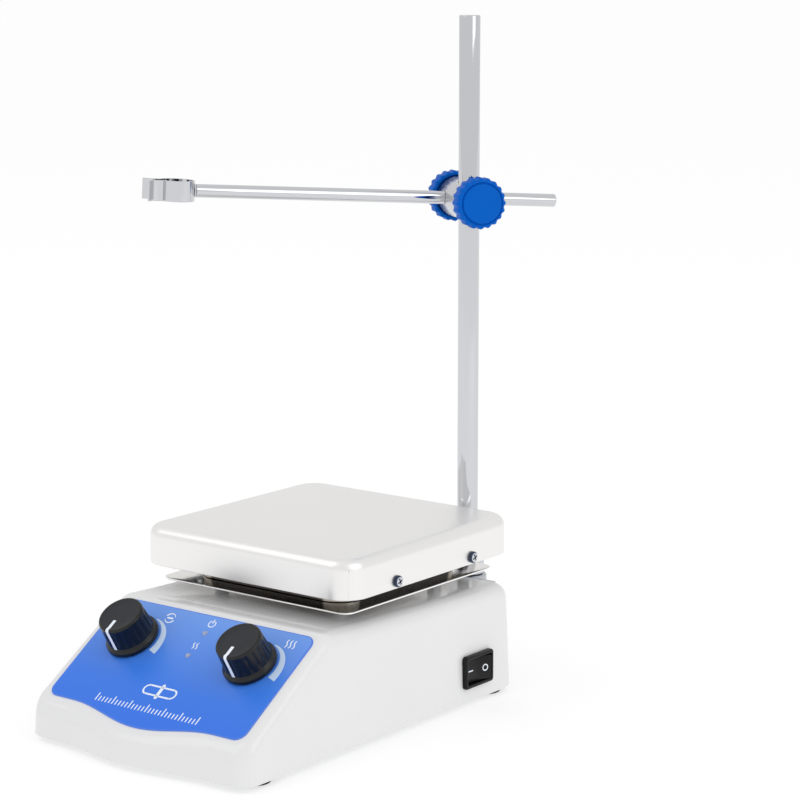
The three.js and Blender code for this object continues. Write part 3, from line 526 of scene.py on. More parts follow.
def panel_height(y, sink=0.0):
    """Height of the casing's top face, and how steep it is there."""
    d = y - CREASE_Y
    steep = tan(SLOPE)
    if d >= CREASE_W:
        z, tilt = DECK_Z - DECK_FALL * d, -DECK_FALL
    elif d <= -CREASE_W:
        z, tilt = DECK_Z + d * steep, steep
    else:
        u = d + CREASE_W
        z = DECK_Z - CREASE_W * steep + steep * u - (steep + DECK_FALL) * u * u / (4 * CREASE_W)
        tilt = steep - (steep + DECK_FALL) * u / (2 * CREASE_W)
    lean = sqrt(1 + tilt * tilt)
    return z - sink * lean, lean


def crease_rows():
    return [CREASE_Y + CREASE_W * (k / 4 - 1) for k in range(9)]


def casing_plan(inset):
    """Closed outline at that inset: right wall going back, rear, left wall going forward, front."""
    hx, r = CASE_HALF_W - inset, max(CORNER_R - inset, 0.4)
    front, rear = CASE_FRONT + inset, CASE_REAR - inset

    def corner(cx, cy, start):
        turns = [radians(start + 90 * i / CORNER_STEPS) for i in range(CORNER_STEPS + 1)]
        return [(cx + r * cos(a), cy + r * sin(a)) for a in turns]

    walls = [*WALL_ROWS_FRONT, *crease_rows(), *WALL_ROWS_REAR]
    right = corner(hx - r, front + r, -90) + [(hx, y) for y in walls] + corner(hx - r, rear - r, 0)
    left = corner(-hx + r, rear - r, 90) + [(-hx, y) for y in walls[::-1]] + corner(-hx + r, front + r, 180)
    bow = []
    for i in range(37):
        x = -BOW_HALF + 2 * BOW_HALF * i / 36
        bow.append((x, front - BOW_DEPTH / 2 * (1 + cos(pi * x / BOW_HALF))))
    return right + left + bow


def casing_skin(inset, sink, foot, edge_scale, steps):
    """Rings up the wall and over the rounded edge, then the flat top in three parts."""
    plan_low = casing_plan(inset)
    rings = []
    if foot:
        rings.append([(x, y, CASE_BOTTOM) for x, y in casing_plan(inset + foot)])
    rings.append([(x, y, CASE_BOTTOM + foot) for x, y in plan_low])
    for i in range(steps + 2):
        a = pi / 2 * min(i, steps) / steps
        points = []
        for k, (_, y_low) in enumerate(plan_low):
            blend = min(max((y_low - CREASE_Y + EDGE_BLEND) / (2 * EDGE_BLEND), 0), 1)
            r = edge_scale * (EDGE_R_PANEL + (EDGE_R_DECK - EDGE_R_PANEL) * blend)
            extra = r * (1 - cos(a)) + (1.0 if i > steps else 0.0)
            rise = panel_height(y_low)[0] - CASE_BOTTOM
            x, y = plan_at(inset + DRAFT * rise + extra, k)
            z, lean = panel_height(y, sink)
            points.append((x, y, z - r * (1 - sin(a)) * lean))
        rings.append(points)
    return rings


PLAN_CACHE = {}


def plan_at(inset, index):
    key = round(inset, 2)
    if key not in PLAN_CACHE:
        PLAN_CACHE[key] = casing_plan(key)
    return PLAN_CACHE[key][index]


def casing_shape(inset, sink, foot, edge_scale, steps):
    rings = casing_skin(inset, sink, foot, edge_scale, steps)
    verts, faces = ring_stack(rings, caps=False)
    n = len(rings[0])
    base = (len(rings) - 1) * n
    rows = crease_rows()
    count = len(rows)
    turn, ahead, behind = CORNER_STEPS + 1, len(WALL_ROWS_FRONT), len(WALL_ROWS_REAR)
    right = turn + ahead  # first crease point on the right wall
    left = right + count + 2 * (behind + turn)  # on the left wall the last crease row comes first
    rights = [base + right + k for k in range(count)]
    lefts = [base + left + (count - 1 - k) for k in range(count)]
    front = list(range(lefts[0], base + n)) + list(range(base, rights[0] + 1))
    rear = list(range(rights[-1], lefts[-1] + 1))
    faces += [front, rear]
    for k in range(count - 1):
        faces.append([lefts[k], rights[k], rights[k + 1], lefts[k + 1]])
    return verts, faces, n


def build_casing():
    outer_v, outer_f, n = casing_shape(0, 0, 0.6, 1.0, 8)
    inner_v, inner_f, _ = casing_shape(WALL, WALL, 0.0, 0.5, 3)
    base = len(outer_v)
    verts = outer_v + inner_v
    faces = outer_f + [[i + base for i in f][::-1] for f in inner_f]
    faces += [[i, base + i, base + (i + 1) % n, (i + 1) % n] for i in range(n)]
    casing = piece("casing_shell", (verts, faces), WHITE, "base", ("upper_casing",))
    holes = [(cylinder(BUSHING_HOLE_R, -9, 6, 32), place(knob_origin(k), NORMAL)) for k in KNOBS]
    holes += [(cylinder(LAMP_HOLE_R, -9, 6, 20), place(middle(k), NORMAL)) for k in LAMPS]
    sw_lo, sw_hi = box("switch_body")
    switch_hole = block(40, 70, sw_lo.y + 0.8, sw_hi.y - 0.8, sw_lo.z + 0.8, sw_hi.z - 0.8)
    in_lo, in_hi = box("power_inlet")
    inlet_hole = block(in_lo.x + 1.8, in_hi.x - 1.8, 45, 70, in_lo.z + 2.2, in_hi.z - 2.2)
    shaft_hole = cylinder(9, DECK_Z - 10, DECK_Z + 5, 40)
    carve(casing, holes + [(shape, UPRIGHT) for shape in (switch_hole, inlet_hole, shaft_hole)])


# ---- Control panel ----
KNOBS = {"stirring_knob": "stirring_knob_turn", "heating_knob": "heating_knob_turn"}
LAMPS = ("power_lamp", "heat_lamp")
LABEL_HALF_W = LABEL_HI.x
LABEL_CORNER = 5
LABEL_BOW = 6
LABEL_BOW_HALF = 40
LABEL_SIDE = 58.5  # length down the slope at the sides


def knob_origin(name):
    return joint_at(KNOBS[name])


def panel_place(x, s, lift=0.0):
    """A frame on the panel: x across, s down the slope from the film's top edge."""
    down = Vector((0, -cos(SLOPE), -sin(SLOPE)))
    return place(PANEL_TOP + Vector((x, 0, 0)) + down * s + NORMAL * lift, NORMAL)


def label_outline(inset):
    half_w, r = LABEL_HALF_W - inset, LABEL_CORNER - inset
    half_h = LABEL_SIDE / 2 - inset
    points = [(x, y - LABEL_SIDE / 2) for x, y in rounded_rect(half_w, half_h, r, 10)]
    for i in range(41):
        x = -LABEL_BOW_HALF + 2 * LABEL_BOW_HALF * i / 40
        bow = LABEL_BOW / 2 * (1 + cos(pi * x / LABEL_BOW_HALF))
        points.append((x, -LABEL_SIDE + inset - bow))
    return points


def build_label():
    rings = []
    for inset, z in ((0, 0.0), (0, FILM_TOP - 0.15), (0.15, FILM_TOP), (0.5, FILM_TOP)):
        rings.append([(x, y, z) for x, y in label_outline(inset)])
    materials = [FILM, FILM_EDGE]
    where = panel_place(0, 0)
    film = piece("label_film", ring_stack(rings), materials, "base", ("control_label",), where)
    biggest = max(face.area for face in film.data.polygons)
    for face in film.data.polygons:
        printed = face.area > 0.5 * biggest and face.normal.dot(NORMAL) > 0.5
        face.material_index = 0 if printed else 1
    carve(film, [(cylinder(BUSHING_HOLE_R, -3, 6, 32), place(knob_origin(k), NORMAL)) for k in KNOBS])


PRINT_SINK, PRINT_LIFT = 0.05, 0.03  # how far a print reaches into and above the film


def flat_print(name, outlines, x, s, material=INK):
    """Printed marks: each outline is a closed list of points in the panel's own plane."""
    shapes = [extruded(outline, -PRINT_SINK, PRINT_LIFT) for outline in outlines]
    piece(name, joined(*shapes), material, "base", (), panel_place(x, s, FILM_TOP), flat=True)


def arc_band(r_in, r_out, start, end, steps=28):
    """Band between two radius functions of t in 0..1, angles in degrees, anticlockwise from +X."""
    ts = [i / steps for i in range(steps + 1)]
    angle = lambda t: radians(start + (end - start) * t)
    outer = [(r_out(t) * cos(angle(t)), r_out(t) * sin(angle(t))) for t in ts]
    inner = [(r_in(t) * cos(angle(t)), r_in(t) * sin(angle(t))) for t in ts]
    return outer + inner[::-1]


def bar(x0, y0, x1, y1, width, steps=6):
    """Round-ended stroke between two points."""
    along = Vector((x1 - x0, y1 - y0)).normalized()
    heading = atan2(along.y, along.x)
    points = []
    for cx, cy, start in ((x1, y1, -90), (x0, y0, 90)):
        for i in range(steps + 1):
            a = heading + radians(start + 180 * i / steps)
            points.append((cx + width / 2 * cos(a), cy + width / 2 * sin(a)))
    return points


def wave(x, y, height, width):
    """A single upright ripple drawn as a stroke."""
    steps = 14
    left, right = [], []
    for i in range(steps + 1):
        t = i / steps
        cx = x + 0.45 * sin(TAU * t)
        left.append((cx - width / 2, y + height * t))
        right.append((cx + width / 2, y + height * t))
    return right + left[::-1]


def print_marks():
    for name in KNOBS:
        x = knob_origin(name).x
        s = (PANEL_TOP - knob_origin(name)).dot(Vector((0, cos(SLOPE), sin(SLOPE))))
        side = name.split("_")[0]
        crescent = arc_band(lambda t: 13.0, lambda t: 13.3 + 4.0 * t ** 0.9, 72, -19)
        flat_print(f"dial_mark_{side}", [crescent], x, s, material=DIAL_INK)
    # Small pictograms: a stir swirl, three heat ripples, a mains symbol and one ripple.
    swirl = [
        arc_band(lambda t: 2.3, lambda t: 2.3 + 0.2 + 0.6 * t, 20, 160),
        arc_band(lambda t: 2.3, lambda t: 2.3 + 0.2 + 0.6 * t, 200, 340),
        bar(-1.3, 0, 1.3, 0, 0.9),
    ]
    flat_print("pictogram_stirring", swirl, knob_origin("stirring_knob").x + 10.5, 6.2)
    ripples = [wave(dx, -2.2, 4.4, 0.6) for dx in (-2.0, 0, 2.0)]
    flat_print("pictogram_heating", ripples, knob_origin("heating_knob").x + 11.5, 6.2)
    mains = [arc_band(lambda t: 1.5, lambda t: 2.0, 120, 420), bar(0, 0.6, 0, 2.3, 0.55)]
    flat_print("pictogram_power", mains, 0, 4.6)
    flat_print("pictogram_heat", [wave(-0.9, -1.7, 3.4, 0.55), wave(0.9, -1.7, 3.4, 0.55)], 0, 17.6)
    # A stir bar in outline, and under it a row of plain ticks, every fifth one longer.
    capsule = bar(-6.5, 0, 6.5, 0, 5.6, 12)
    inside = bar(-6.5, 0, 6.5, 0, 3.9, 12)
    half = len(capsule) // 2
    upper = capsule[:half] + inside[:half][::-1]
    lower = capsule[half:] + inside[half:][::-1]
    sides = [bar(-6.6, y, 6.6, y, 0.85, 3) for y in (-2.37, 2.37)]
    flat_print("emblem_bar", [upper, lower] + sides + [bar(0, -3.3, 0, 3.3, 1.7, 4)], 0, 44.5)
    ticks = []
    for i in range(-15, 16):
        reach = 1.9 if i % 5 == 0 else 1.15
        ticks.append(bar(i * 1.9, -1.9, i * 1.9, -1.9 + 2 * reach, 0.55, 3))
    flat_print("tick_row", ticks, 0, 54.0)


def build_lamps():
    for name in LAMPS:
        spot = place(middle(name), NORMAL)
        top = 3.62  # dome's height above the lamp's own middle
        profile = [(0, -3.5), (1.45, -3.5), (1.45, top - 1.4)]
        profile += [(1.45 * cos(a), top - 1.4 + 1.35 * sin(a)) for a in quarter(8, 1)[:-1]]
        profile.append((0, top - 0.05))
        piece(name + "_lens", lathe(profile, 32), LENS, "base", (name,), spot)


# ---- Knobs ----
KNOB_H = 15.5
KNOB_FLANGE_R = 12.1
KNOB_TOP_R = 10.2
FLUTES = 18


def knob_shape():
    r, f, b = KNOB_TOP_R, KNOB_FLANGE_R, 0.9
    shaft_r, shaft_end, nut_r, nut_end = 3.05, KNOB_H - 4, 5.4, b + 2.6
    profile = [(0, shaft_end), (shaft_r, shaft_end), (shaft_r, nut_end), (nut_r, nut_end), (nut_r, b)]
    profile += [(f - 0.45, b), (f - 0.12, b + 0.15), (f, b + 0.5), (f, b + 1.7), (f - 0.2, b + 2.2)]
    profile += [(f - 0.6, b + 2.7), (f - 1.1, b + 3.0), (r + 0.7, b + 3.2), (r + 0.52, b + 3.3)]
    side = [(r + 0.5 - 0.5 * k / 10, b + 3.4 + (KNOB_H - 1.3 - b - 3.4) * (k / 10)) for k in range(11)]
    first, last = len(profile), len(profile) + len(side) - 1
    profile += side
    crown = [(r - 0.06, 0.85), (r - 0.25, 0.45), (r - 0.6, 0.15), (r - 1.0, 0.02), (r - 1.4, 0.05)]
    crown += [(r - 1.8, 0.22), (r * 0.5, 0.25), (0, 0.25)]
    profile += [(x, KNOB_H - down) for x, down in crown]

    def flute(angle, index):
        if index < first or index > last:
            return 0.0
        t = (index - first) / (last - first)
        window = min(1.0, t * 5, (1 - t) * 5)
        trough = 0.5 + 0.5 * cos(FLUTES * angle)
        return -0.42 * window * trough ** 3

    return lathe(profile, FLUTES * 12, flute)


def knob_pointer():
    """White inlay: across the top's edge and down the grip, pointing down the slope (-Y)."""
    r, w, lift = KNOB_TOP_R, 0.78, 0.12
    top = KNOB_H - 0.25
    path = [(-3.7, top), (-r + 2.0, top), (-r + 1.4, KNOB_H - 0.04), (-r + 0.8, KNOB_H - 0.02)]
    path += [(-r + 0.25, KNOB_H - 0.4), (-r, KNOB_H - 1.1), (-r - 0.25, KNOB_H - 6.5), (-r - 0.5, 4.3)]
    section = [(-w, -0.3), (w, -0.3), (w, lift - 0.06), (w - 0.1, lift), (-w + 0.1, lift), (-w, lift - 0.06)]
    rings = []
    for i, (y, z) in enumerate(path):
        y0, z0 = path[max(i - 1, 0)]
        y1, z1 = path[min(i + 1, len(path) - 1)]
        along = Vector((y1 - y0, z1 - z0)).normalized()
        out = Vector((along.y, -along.x))
        if out.dot(Vector((y, z - 7))) < 0:
            out = -out
        rings.append([(x, y + out.x * h, z + out.y * h) for x, h in section])
    return ring_stack(rings)


def build_knobs():
    for name in KNOBS:
        body = name.split("_")[0] + "_control"
        spot = place(knob_origin(name), NORMAL)
        materials = [KNOB_SIDE, KNOB_TOP]
        knob = piece(name + "_body", knob_shape(), materials, body, (name,), spot, sharp=50)
        for face in knob.data.polygons:
            local = spot.inverted() @ face.center
            if local.z > KNOB_H - 0.28 and hypot(local.x, local.y) < KNOB_TOP_R - 1.5:
                face.material_index = 1
        piece(name + "_pointer", knob_pointer(), INK, body, (), spot, sharp=40)


# ---- Rocker switch ----
def build_switch():
    lo, hi = box("switch_body")
    cy, cz = (lo.y + hi.y) / 2, (lo.z + hi.z) / 2
    half_l, half_h = (hi.y - lo.y) / 2, (hi.z - lo.z) / 2
    face_x = hi.x
    bezel_t = 1.8
    # Local frame: +Z out of the wall, +X towards the rear, +Y up.
    spot = place((face_x - bezel_t, cy, cz), (1, 0, 0))
    outer = ((0, -0.45), (0, bezel_t - 0.7), (0.25, bezel_t - 0.2), (0.7, bezel_t))
    inner = ((0.45, bezel_t), (0.12, bezel_t - 0.12), (0.0, bezel_t - 0.5), (0.0, -6.5))
    rings = [rect_ring(half_l - i, half_h - i, 1.6 - i, z, 6) for i, z in outer]
    rings += [rect_ring(8.9 + i, 5.8 + i, 0.7, z, 6) for i, z in inner]
    verts, faces = ring_stack(rings, caps=False)
    n = len(rings[0])
    faces.append([(len(rings) - 1) * n + i for i in range(n)])
    can = ring_stack([rect_ring(half_l - 1, half_h - 1, 0.8, z, 6) for z in (-13.5, -0.45)], caps=False)
    base = len(verts)
    verts += can[0]
    faces += [[i + base for i in f] for f in can[1]]
    faces.append([base + i for i in range(n)][::-1])
    faces += [[i, (i + 1) % n, base + n + (i + 1) % n, base + n + i] for i in range(n)]
    tags = [block(dx - 0.4, dx + 0.4, -2.4, 2.4, -19.5, -13.4, 0.1) for dx in (-6, 0, 6)]
    piece("switch_bezel", (verts, faces), SWITCH_BLACK, "base", ("switch_body",), spot)
    piece("switch_tags", joined(*tags), BRASS, "base", (), spot)
    pivot = joint_at("switch_rock")
    rest = radians(9)  # the end towards the rear stands proud
    # Local frame of the rocker: +X towards the rear, +Z out of the wall.
    blade_place = place(pivot, (cos(rest), sin(-rest), 0))
    half, waist, swell, power = 8.1, 2.15, 0.85, 1.6  # the blade's top rises from its waist to both ends
    xs = [-half + 2 * half * i / 24 for i in range(25)]
    outline = [(x, waist + swell * abs(x / half) ** power) for x in xs]
    outline += [(half, 0.6), (2.5, -3.2), (-2.5, -3.2), (-half, 0.6)]
    width = 5.35
    rings = []
    for z, inset in ((-width, 0.3), (-width + 0.3, 0.0), (width - 0.3, 0.0), (width, 0.3)):
        rings.append([(x * (half - inset) / half, z, y - inset * 0.6) for x, y in outline])
    blade = ring_stack(rings)
    piece("switch_blade", blade, SWITCH_BLACK, "rocker", ("switch_rocker",), blade_place)
    sink, lift = -0.2, 0.06
    dash = extruded(bar(-1.4, 0, 1.4, 0, 0.55), sink, lift)
    ring = tube(1.1, 1.6, sink, lift, 28)
    marks = []
    # The dash is on the half towards the front and the ring on the half towards the rear.
    for cx, shape in ((4.6, ring), (-4.6, dash)):
        z = waist + swell * abs(cx / half) ** power
        rise = atan(swell * power / half * abs(cx / half) ** (power - 1))
        tilt = Matrix.Rotation(-copysign(rise, cx), 4, "Y")
        marks.append(turned(shape, Matrix.Translation((cx, 0, z)) @ tilt))
    piece("switch_marks", joined(*marks), INK, "rocker", (), blade_place, flat=True)


# ---- Hot plate ----
COVER_LO, COVER_HI = box("hot_plate_cover")
SHEET = 0.9


def build_cover():
    half, r, edge = COVER_HI.x, 12.0, 5.0
    rim = COVER_LO.z

    def skin(rows):
        return [rect_ring(half - i, half - i, r - i, z, 14) for i, z in rows]

    rows = [(0.25, rim), (0, rim + 0.25)]
    rows += [(i, COVER_HI.z - down) for i, down in rounding(edge, 9)]
    rings = skin(rows + [(edge + 1, COVER_HI.z)])
    rows = [(SHEET, rim)]
    rows += [(SHEET + i, COVER_HI.z - SHEET - down) for i, down in rounding(edge - SHEET, 4)]
    inner = skin(rows)
    verts, faces = ring_stack(rings, caps=False)
    n = len(rings[0])
    faces.append([(len(rings) - 1) * n + i for i in range(n)])
    inner_v, inner_f = ring_stack(inner, caps=False)
    inner_f.append([(len(inner) - 1) * n + i for i in range(n)])
    base = len(verts)
    verts += inner_v
    faces += [[i + base for i in f][::-1] for f in inner_f]
    faces += [[i, (i + 1) % n, base + (i + 1) % n, base + i] for i in range(n)]
    shape = (verts, faces)
    cover = piece("plate_cover", shape, SATIN_STEEL, "base", ("hot_plate_cover",), sharp=40)
    # Corner seams: a fine upright groove with a pin-prick at the top of the fold.
    seam_top = COVER_HI.z - edge
    groove = block(-0.3, 1.0, -0.25, 0.25, rim - 1, seam_top - 0.4)
    dimple = lathe([(0, -0.9), (0.65, -0.65), (0.9, 0), (0.65, 0.65), (0, 0.9)], 16)
    dimple = turned(dimple, Matrix.Translation((0.25, 0, seam_top + 0.2)))
    d = half - r + r * sqrt(0.5)
    cuts = []
    for sx, sy in ((-1, -1), (-1, 1), (1, -1), (1, 1)):
        corner = Matrix.Translation(Vector((sx * d, sy * d, 0)) * MM)
        spot = corner @ Matrix.Rotation(atan2(sy, sx), 4, "Z") @ UPRIGHT
        cuts += [(groove, spot), (dimple, spot)]
    carve(cover, cuts, 40)


def pan_head(diameter, height, shank_r, shank_l, segments=40):
    """Cross-recess pan-head screw: head's face towards +Z, shank towards -Z, seat at z = 0."""
    r = diameter / 2
    profile = [(0, -shank_l), (shank_r * 0.7, -shank_l), (shank_r, -shank_l + 0.6), (shank_r, 0), (r, 0)]
    profile.append((r, height * 0.35))
    for a in quarter(6, 1)[:-1]:
        profile.append((r * cos(a) ** 0.7, height * 0.35 + height * 0.65 * sin(a)))
    profile.append((0, height))
    return lathe(profile, segments)


def build_screw(name, spot, diameter, height, shank_r, shank_l, body="base"):
    shape = pan_head(diameter, height, shank_r, shank_l)
    screw = piece(name + "_body", shape, [PLATED, SCREW_PAINTED_SHADE_AND_REFLECTION], body, (name,), spot)
    arm, wide = diameter * 0.3, diameter * 0.065
    cuts = []
    taper = ring_stack([rectangle(arm * 0.45, wide * 0.6, height * 0.25), rectangle(arm, wide, height * 1.05)])
    for turn in (25, 115):
        cuts.append((taper, spot @ Matrix.Rotation(radians(turn), 4, "Z")))
    carve(screw, cuts)
    # Painted dark reflection on the head's skirt and painted shade in the recess: both take the dark material,
    # and the crown between them stays bright plated.
    to_local = spot.inverted()
    for face in screw.data.polygons:
        local = to_local @ face.center
        out = hypot(local.x, local.y)
        recess = out < arm * 1.05 and local.z < height * 0.93
        if local.z > 0.02 and (out > diameter * 0.36 or recess):
            face.material_index = 1


def build_cover_screws():
    for side, sign in (("left", -1), ("right", 1)):
        for end in ("front", "rear"):
            name = f"cover_screw_{side}_{end}"
            at = middle(name)
            outer = high(name).x if sign > 0 else low(name).x
            height = 1.5
            spot = place((outer - sign * height, at.y, at.z), (sign, 0, 0))
            build_screw(name, spot, 5.2, height, 1.5, 6.8)


def build_tray():
    lo, hi = box("heat_shield_tray")
    tray = slab(hi.x, hi.y, 5.5, lo.z, hi.z, 0.3, 0.3, 8, 4)
    obj = piece("shield_tray", tray, [POLISHED, TRAY_EDGE_PAINTED_HIGHLIGHT], "base", ("heat_shield_tray",))
    # Painted highlight: the tray's upright edge faces take the near-white material.
    for face in obj.data.polygons:
        face.material_index = 1 if abs(face.normal.z) < 0.5 else 0
    carve(obj, [(cylinder(14, lo.z - 5, hi.z + 5, 48), UPRIGHT)])


def build_housing():
    lo, hi = box("heater_housing")
    half, r, wall = hi.x, HOUSING_CORNER_R, 1.2
    rings = []
    outside = [(0.15, lo.z), (0, lo.z + 0.15), (0, hi.z - 0.15), (0.15, hi.z)]
    inside = [(wall - inset, z) for inset, z in outside[::-1]]
    for inset, z in outside + inside:
        rings.append(rect_ring(half - inset, half - inset, r - inset, z, 14))
    verts, faces = ring_stack(rings + [rings[0]], caps=False)
    piece("housing_wall", (verts, faces), BRUSHED, "base", ("heater_housing",))


def build_spacers():
    for name in [n for n in frame["nodes"] if n.startswith("tray_spacer_")]:
        lo, hi = box(name)
        r = half_width(name)
        ring = [(1.7, lo.z), (r - 0.2, lo.z), (r, lo.z + 0.2), (r, hi.z - 0.2), (r - 0.2, hi.z)]
        ring += [(1.7, hi.z), (1.7, lo.z)]
        spot = standing(name)
        piece(name + "_tube", lathe(ring, 32), ZINC, "base", (name,), spot)


# ---- Underside ----
def build_feet():
    for name in [n for n in frame["nodes"] if n.startswith("foot_")]:
        lo, hi = box(name)
        r = half_width(name)
        h = hi.z - lo.z
        profile = [(2, 1.4), (3.8, 1.4), (3.8, 0.25), (4.0, 0.06), (4.25, 0.0), (r - 1.1, 0.0), (r - 0.5, 0.2)]
        profile += [(r - 0.1, 0.7), (r, 1.1), (r, h - 0.2), (r - 0.2, h), (2, h), (2, 1.4)]
        spot = standing(name, lo.z)
        piece(name + "_pad", lathe(profile, 48), RUBBER, "base", (name,), spot)
        screw = name.replace("foot_", "base_screw_")
        s_lo = low(screw)
        spot = place((middle(screw).x, middle(screw).y, s_lo.z + 1.0), (0, 0, -1), Vector((0, 1, 0)))
        build_screw(screw, spot, 6, 1.0, 1.4, 10)


# ---- Rear: mains inlet, rod bracket ----
def build_inlet():
    lo, hi = box("power_inlet")
    cx, cz = (lo.x + hi.x) / 2, (lo.z + hi.z) / 2
    half_w, half_h = half_width("power_inlet"), (hi.z - lo.z) / 2
    bezel = 2.5
    # Local frame: +Z out of the rear wall, +Y up, +X towards the left side of the object.
    spot = place((cx, hi.y - bezel, cz), (0, 1, 0))
    flange = slab(half_w, half_h, 2.2, 0, bezel, 0.0, 0.5, 8, 4)
    can = block(-half_w + 2, half_w - 2, -half_h + 2.5, half_h - 2.5, -18, 0.6, 0.0, 1.0)
    body = piece("inlet_flange", flange, INLET_BLACK, "base", ("power_inlet",), spot)
    rear = piece("inlet_can", can, INLET_BLACK, "base", (), spot)
    socket_z = 6.5
    well = [(-12, -8), (12, -8), (12, 4), (8, 8), (-8, 8), (-12, 4)]
    shape = extruded([(x, y + socket_z) for x, y in well], -12.5, bezel + 1)
    drawer = middle("fuse_drawer")
    d_half_w = half_width("fuse_drawer") + 0.3
    slot_shape = block(-d_half_w, d_half_w, drawer.z - cz - 4.3, drawer.z - cz + 4.3, -14.3, bezel + 1)
    carve(body, [(shape, spot), (slot_shape, spot)])
    carve(rear, [(shape, spot), (slot_shape, spot)])
    bevel(body, 0.18, 2)
    pins = []
    for x, y in ((-7, -1.5), (0, 2.5), (7, -1.5)):
        pins.append(block(x - 1, x + 1, y + socket_z - 2, y + socket_z + 2, -15.5, -2.2, 0.35))
    piece("inlet_pins", joined(*pins), PLATED, "base", (), spot)
    d_lo, d_hi = box("fuse_drawer")
    front = hi.y
    tray = block(d_lo.x, d_hi.x, d_lo.y, front, d_lo.z, d_hi.z, 0.3)
    carrier = piece("fuse_carrier_tray", tray, INLET_BLACK, "fuse_carrier", ("fuse_drawer",))
    fuse_at = middle("fuse")
    f_lo, f_hi = box("fuse")
    pocket = block(f_lo.x - 0.4, f_hi.x + 0.4, fuse_at.y - 3.1, fuse_at.y + 3.1, drawer.z - 3, drawer.z + 6)
    carve(carrier, [(pocket, UPRIGHT)])
    lip = block(cx - 4, cx + 4, front - 0.4, d_hi.y, drawer.z - 1.2, drawer.z + 0.6, 0.3)
    piece("fuse_carrier_lip", lip, INLET_BLACK, "fuse_carrier")
    half = half_width("fuse")
    along_x = place(fuse_at, (1, 0, 0))
    glass = tube(2.0, 2.35, -half + 0.5, half - 0.5, 32)
    piece("fuse_glass_tube", glass, GLASS, "fuse_carrier", ("fuse",), along_x)
    end = [(0, 0.3), (2.3, 0.3), (2.3, 5), (2.6, 5), (2.6, 0.3), (2.3, 0), (0, 0)]
    cap = lathe([(r, half - down) for r, down in end], 32)
    caps = [turned(cap, Matrix.Rotation(turn, 4, "X")) for turn in (pi, 0)]
    piece("fuse_caps", joined(*caps), PLATED, "fuse_carrier", (), along_x)
    wire = cylinder(0.12, -half + 1, half - 1, 8)
    piece("fuse_wire", wire, PLATED, "fuse_carrier", (), along_x)


BRACKET_SCREWS = ("bracket_screw_left", "bracket_screw_right")


def build_bracket():
    lo, hi = box("rod_bracket")
    rod = middle("support_rod")
    rod_r = half_width("support_rod")
    boss_r = hi.y - rod.y
    plate_t = 3.0
    plate = block(lo.x, hi.x, lo.y, lo.y + plate_t, lo.z, hi.z, 0.5, 0.5)
    obj = piece("bracket_plate", plate, ZINC, "base", ("rod_bracket",))
    hole = cylinder(2.1, -20, 20, 24)
    carve(obj, [(hole, place((middle(n).x, lo.y, middle(n).z), (0, 1, 0))) for n in BRACKET_SCREWS])
    spot = standing("support_rod")
    barrel = [(0, lo.z), (boss_r - 0.6, lo.z), (boss_r, lo.z + 0.6), (boss_r, hi.z - 0.6), (boss_r - 0.6, hi.z)]
    barrel += [(rod_r + 0.1, hi.z), (rod_r + 0.1, lo.z + 2), (0, lo.z + 2)]
    socket = piece("bracket_socket", lathe(barrel, 56), ZINC, "base", (), spot)
    trim = block(rod.x - 15, rod.x + 15, 30, lo.y, lo.z - 5, hi.z + 5)
    carve(socket, [(trim, UPRIGHT)])
    for name in BRACKET_SCREWS:
        head_y = high(name).y
        build_screw(name, place((middle(name).x, head_y - 2, middle(name).z), (0, 1, 0)), 7, 2.0, 1.8, 14)
    n_lo, n_hi = box("rod_lock_nut")
    r, bore = half_width("rod_lock_nut"), rod_r + 0.08
    ring = [(bore, n_lo.z), (r - 0.6, n_lo.z), (r - 0.1, n_lo.z + 0.5), (r, n_lo.z + 0.9)]
    ring += [(r, n_hi.z - 0.9), (r - 0.1, n_hi.z - 0.5), (r - 0.6, n_hi.z), (bore, n_hi.z), (bore, n_lo.z)]
    knurl = lambda angle, index: -0.18 * (0.5 - 0.5 * cos(40 * angle)) if index in (3, 4) else 0.0
    piece("lock_collar", lathe(ring, 240, knurl), PLATED, "base", ("rod_lock_nut",), spot)


def build_rod():
    lo, hi = box("support_rod")
    r = half_width("support_rod")
    spot = standing("support_rod")
    profile = [(0, lo.z), (r - 0.7, lo.z), (r, lo.z + 0.7), (r, hi.z - 0.55)]
    profile += [(r - i, hi.z - down) for i, down in rounding(0.55, 5, 1)]
    profile.append((0, hi.z))
    piece("support_rod_bar", lathe(profile, 96), CHROME, "stand", ("support_rod",), spot)


# ---- Boss head, clamp knobs, arm and clip ----
CLAMP_AXIS = Vector(JOINT["front_thumbscrew_turn"]["axis"])
CLAMP_AT = joint_at("front_thumbscrew_turn")
ARM_OUT = Vector(JOINT["arm_slide"]["axis"])
ARM_AT = joint_at("clip_twist")
BOSS_R, BOSS_BACK, BOSS_FRONT = 9.3, -12.2, 13.0
ROD_SEAT, ARM_SEAT = 4.6, -4.6
KNOB_T = 9.0
CLAMP_KNOB_R = 11.7
SCALLOPS = 20


def build_boss():
    spot = place(CLAMP_AT, CLAMP_AXIS)
    r, back, front = BOSS_R, BOSS_BACK, BOSS_FRONT
    profile = [(0, back), (r - 1, back), (r - 0.3, back + 0.3), (r, back + 1)]
    profile += [(r, front - 1), (r - 0.3, front - 0.3), (r - 1, front), (0, front)]
    barrel = lathe(profile, 72)
    boss = piece("boss_barrel", barrel, BOSS_METAL, "cross_clamp", ("boss_head",), spot)
    rod_r = half_width("support_rod") + 0.2
    arm_r = 3.2
    rod_hole = (cylinder(rod_r, -30, 30, 48), place(CLAMP_AT + CLAMP_AXIS * ROD_SEAT, UP, Vector((0, 1, 0))))
    arm_hole = (cylinder(arm_r, -30, 30, 40), place(ARM_AT, ARM_OUT))
    bore = (cylinder(3.1, -40, 40, 32), spot)
    carve(boss, [rod_hole, arm_hole, bore])
    bevel(boss, 0.2, 2, 40)


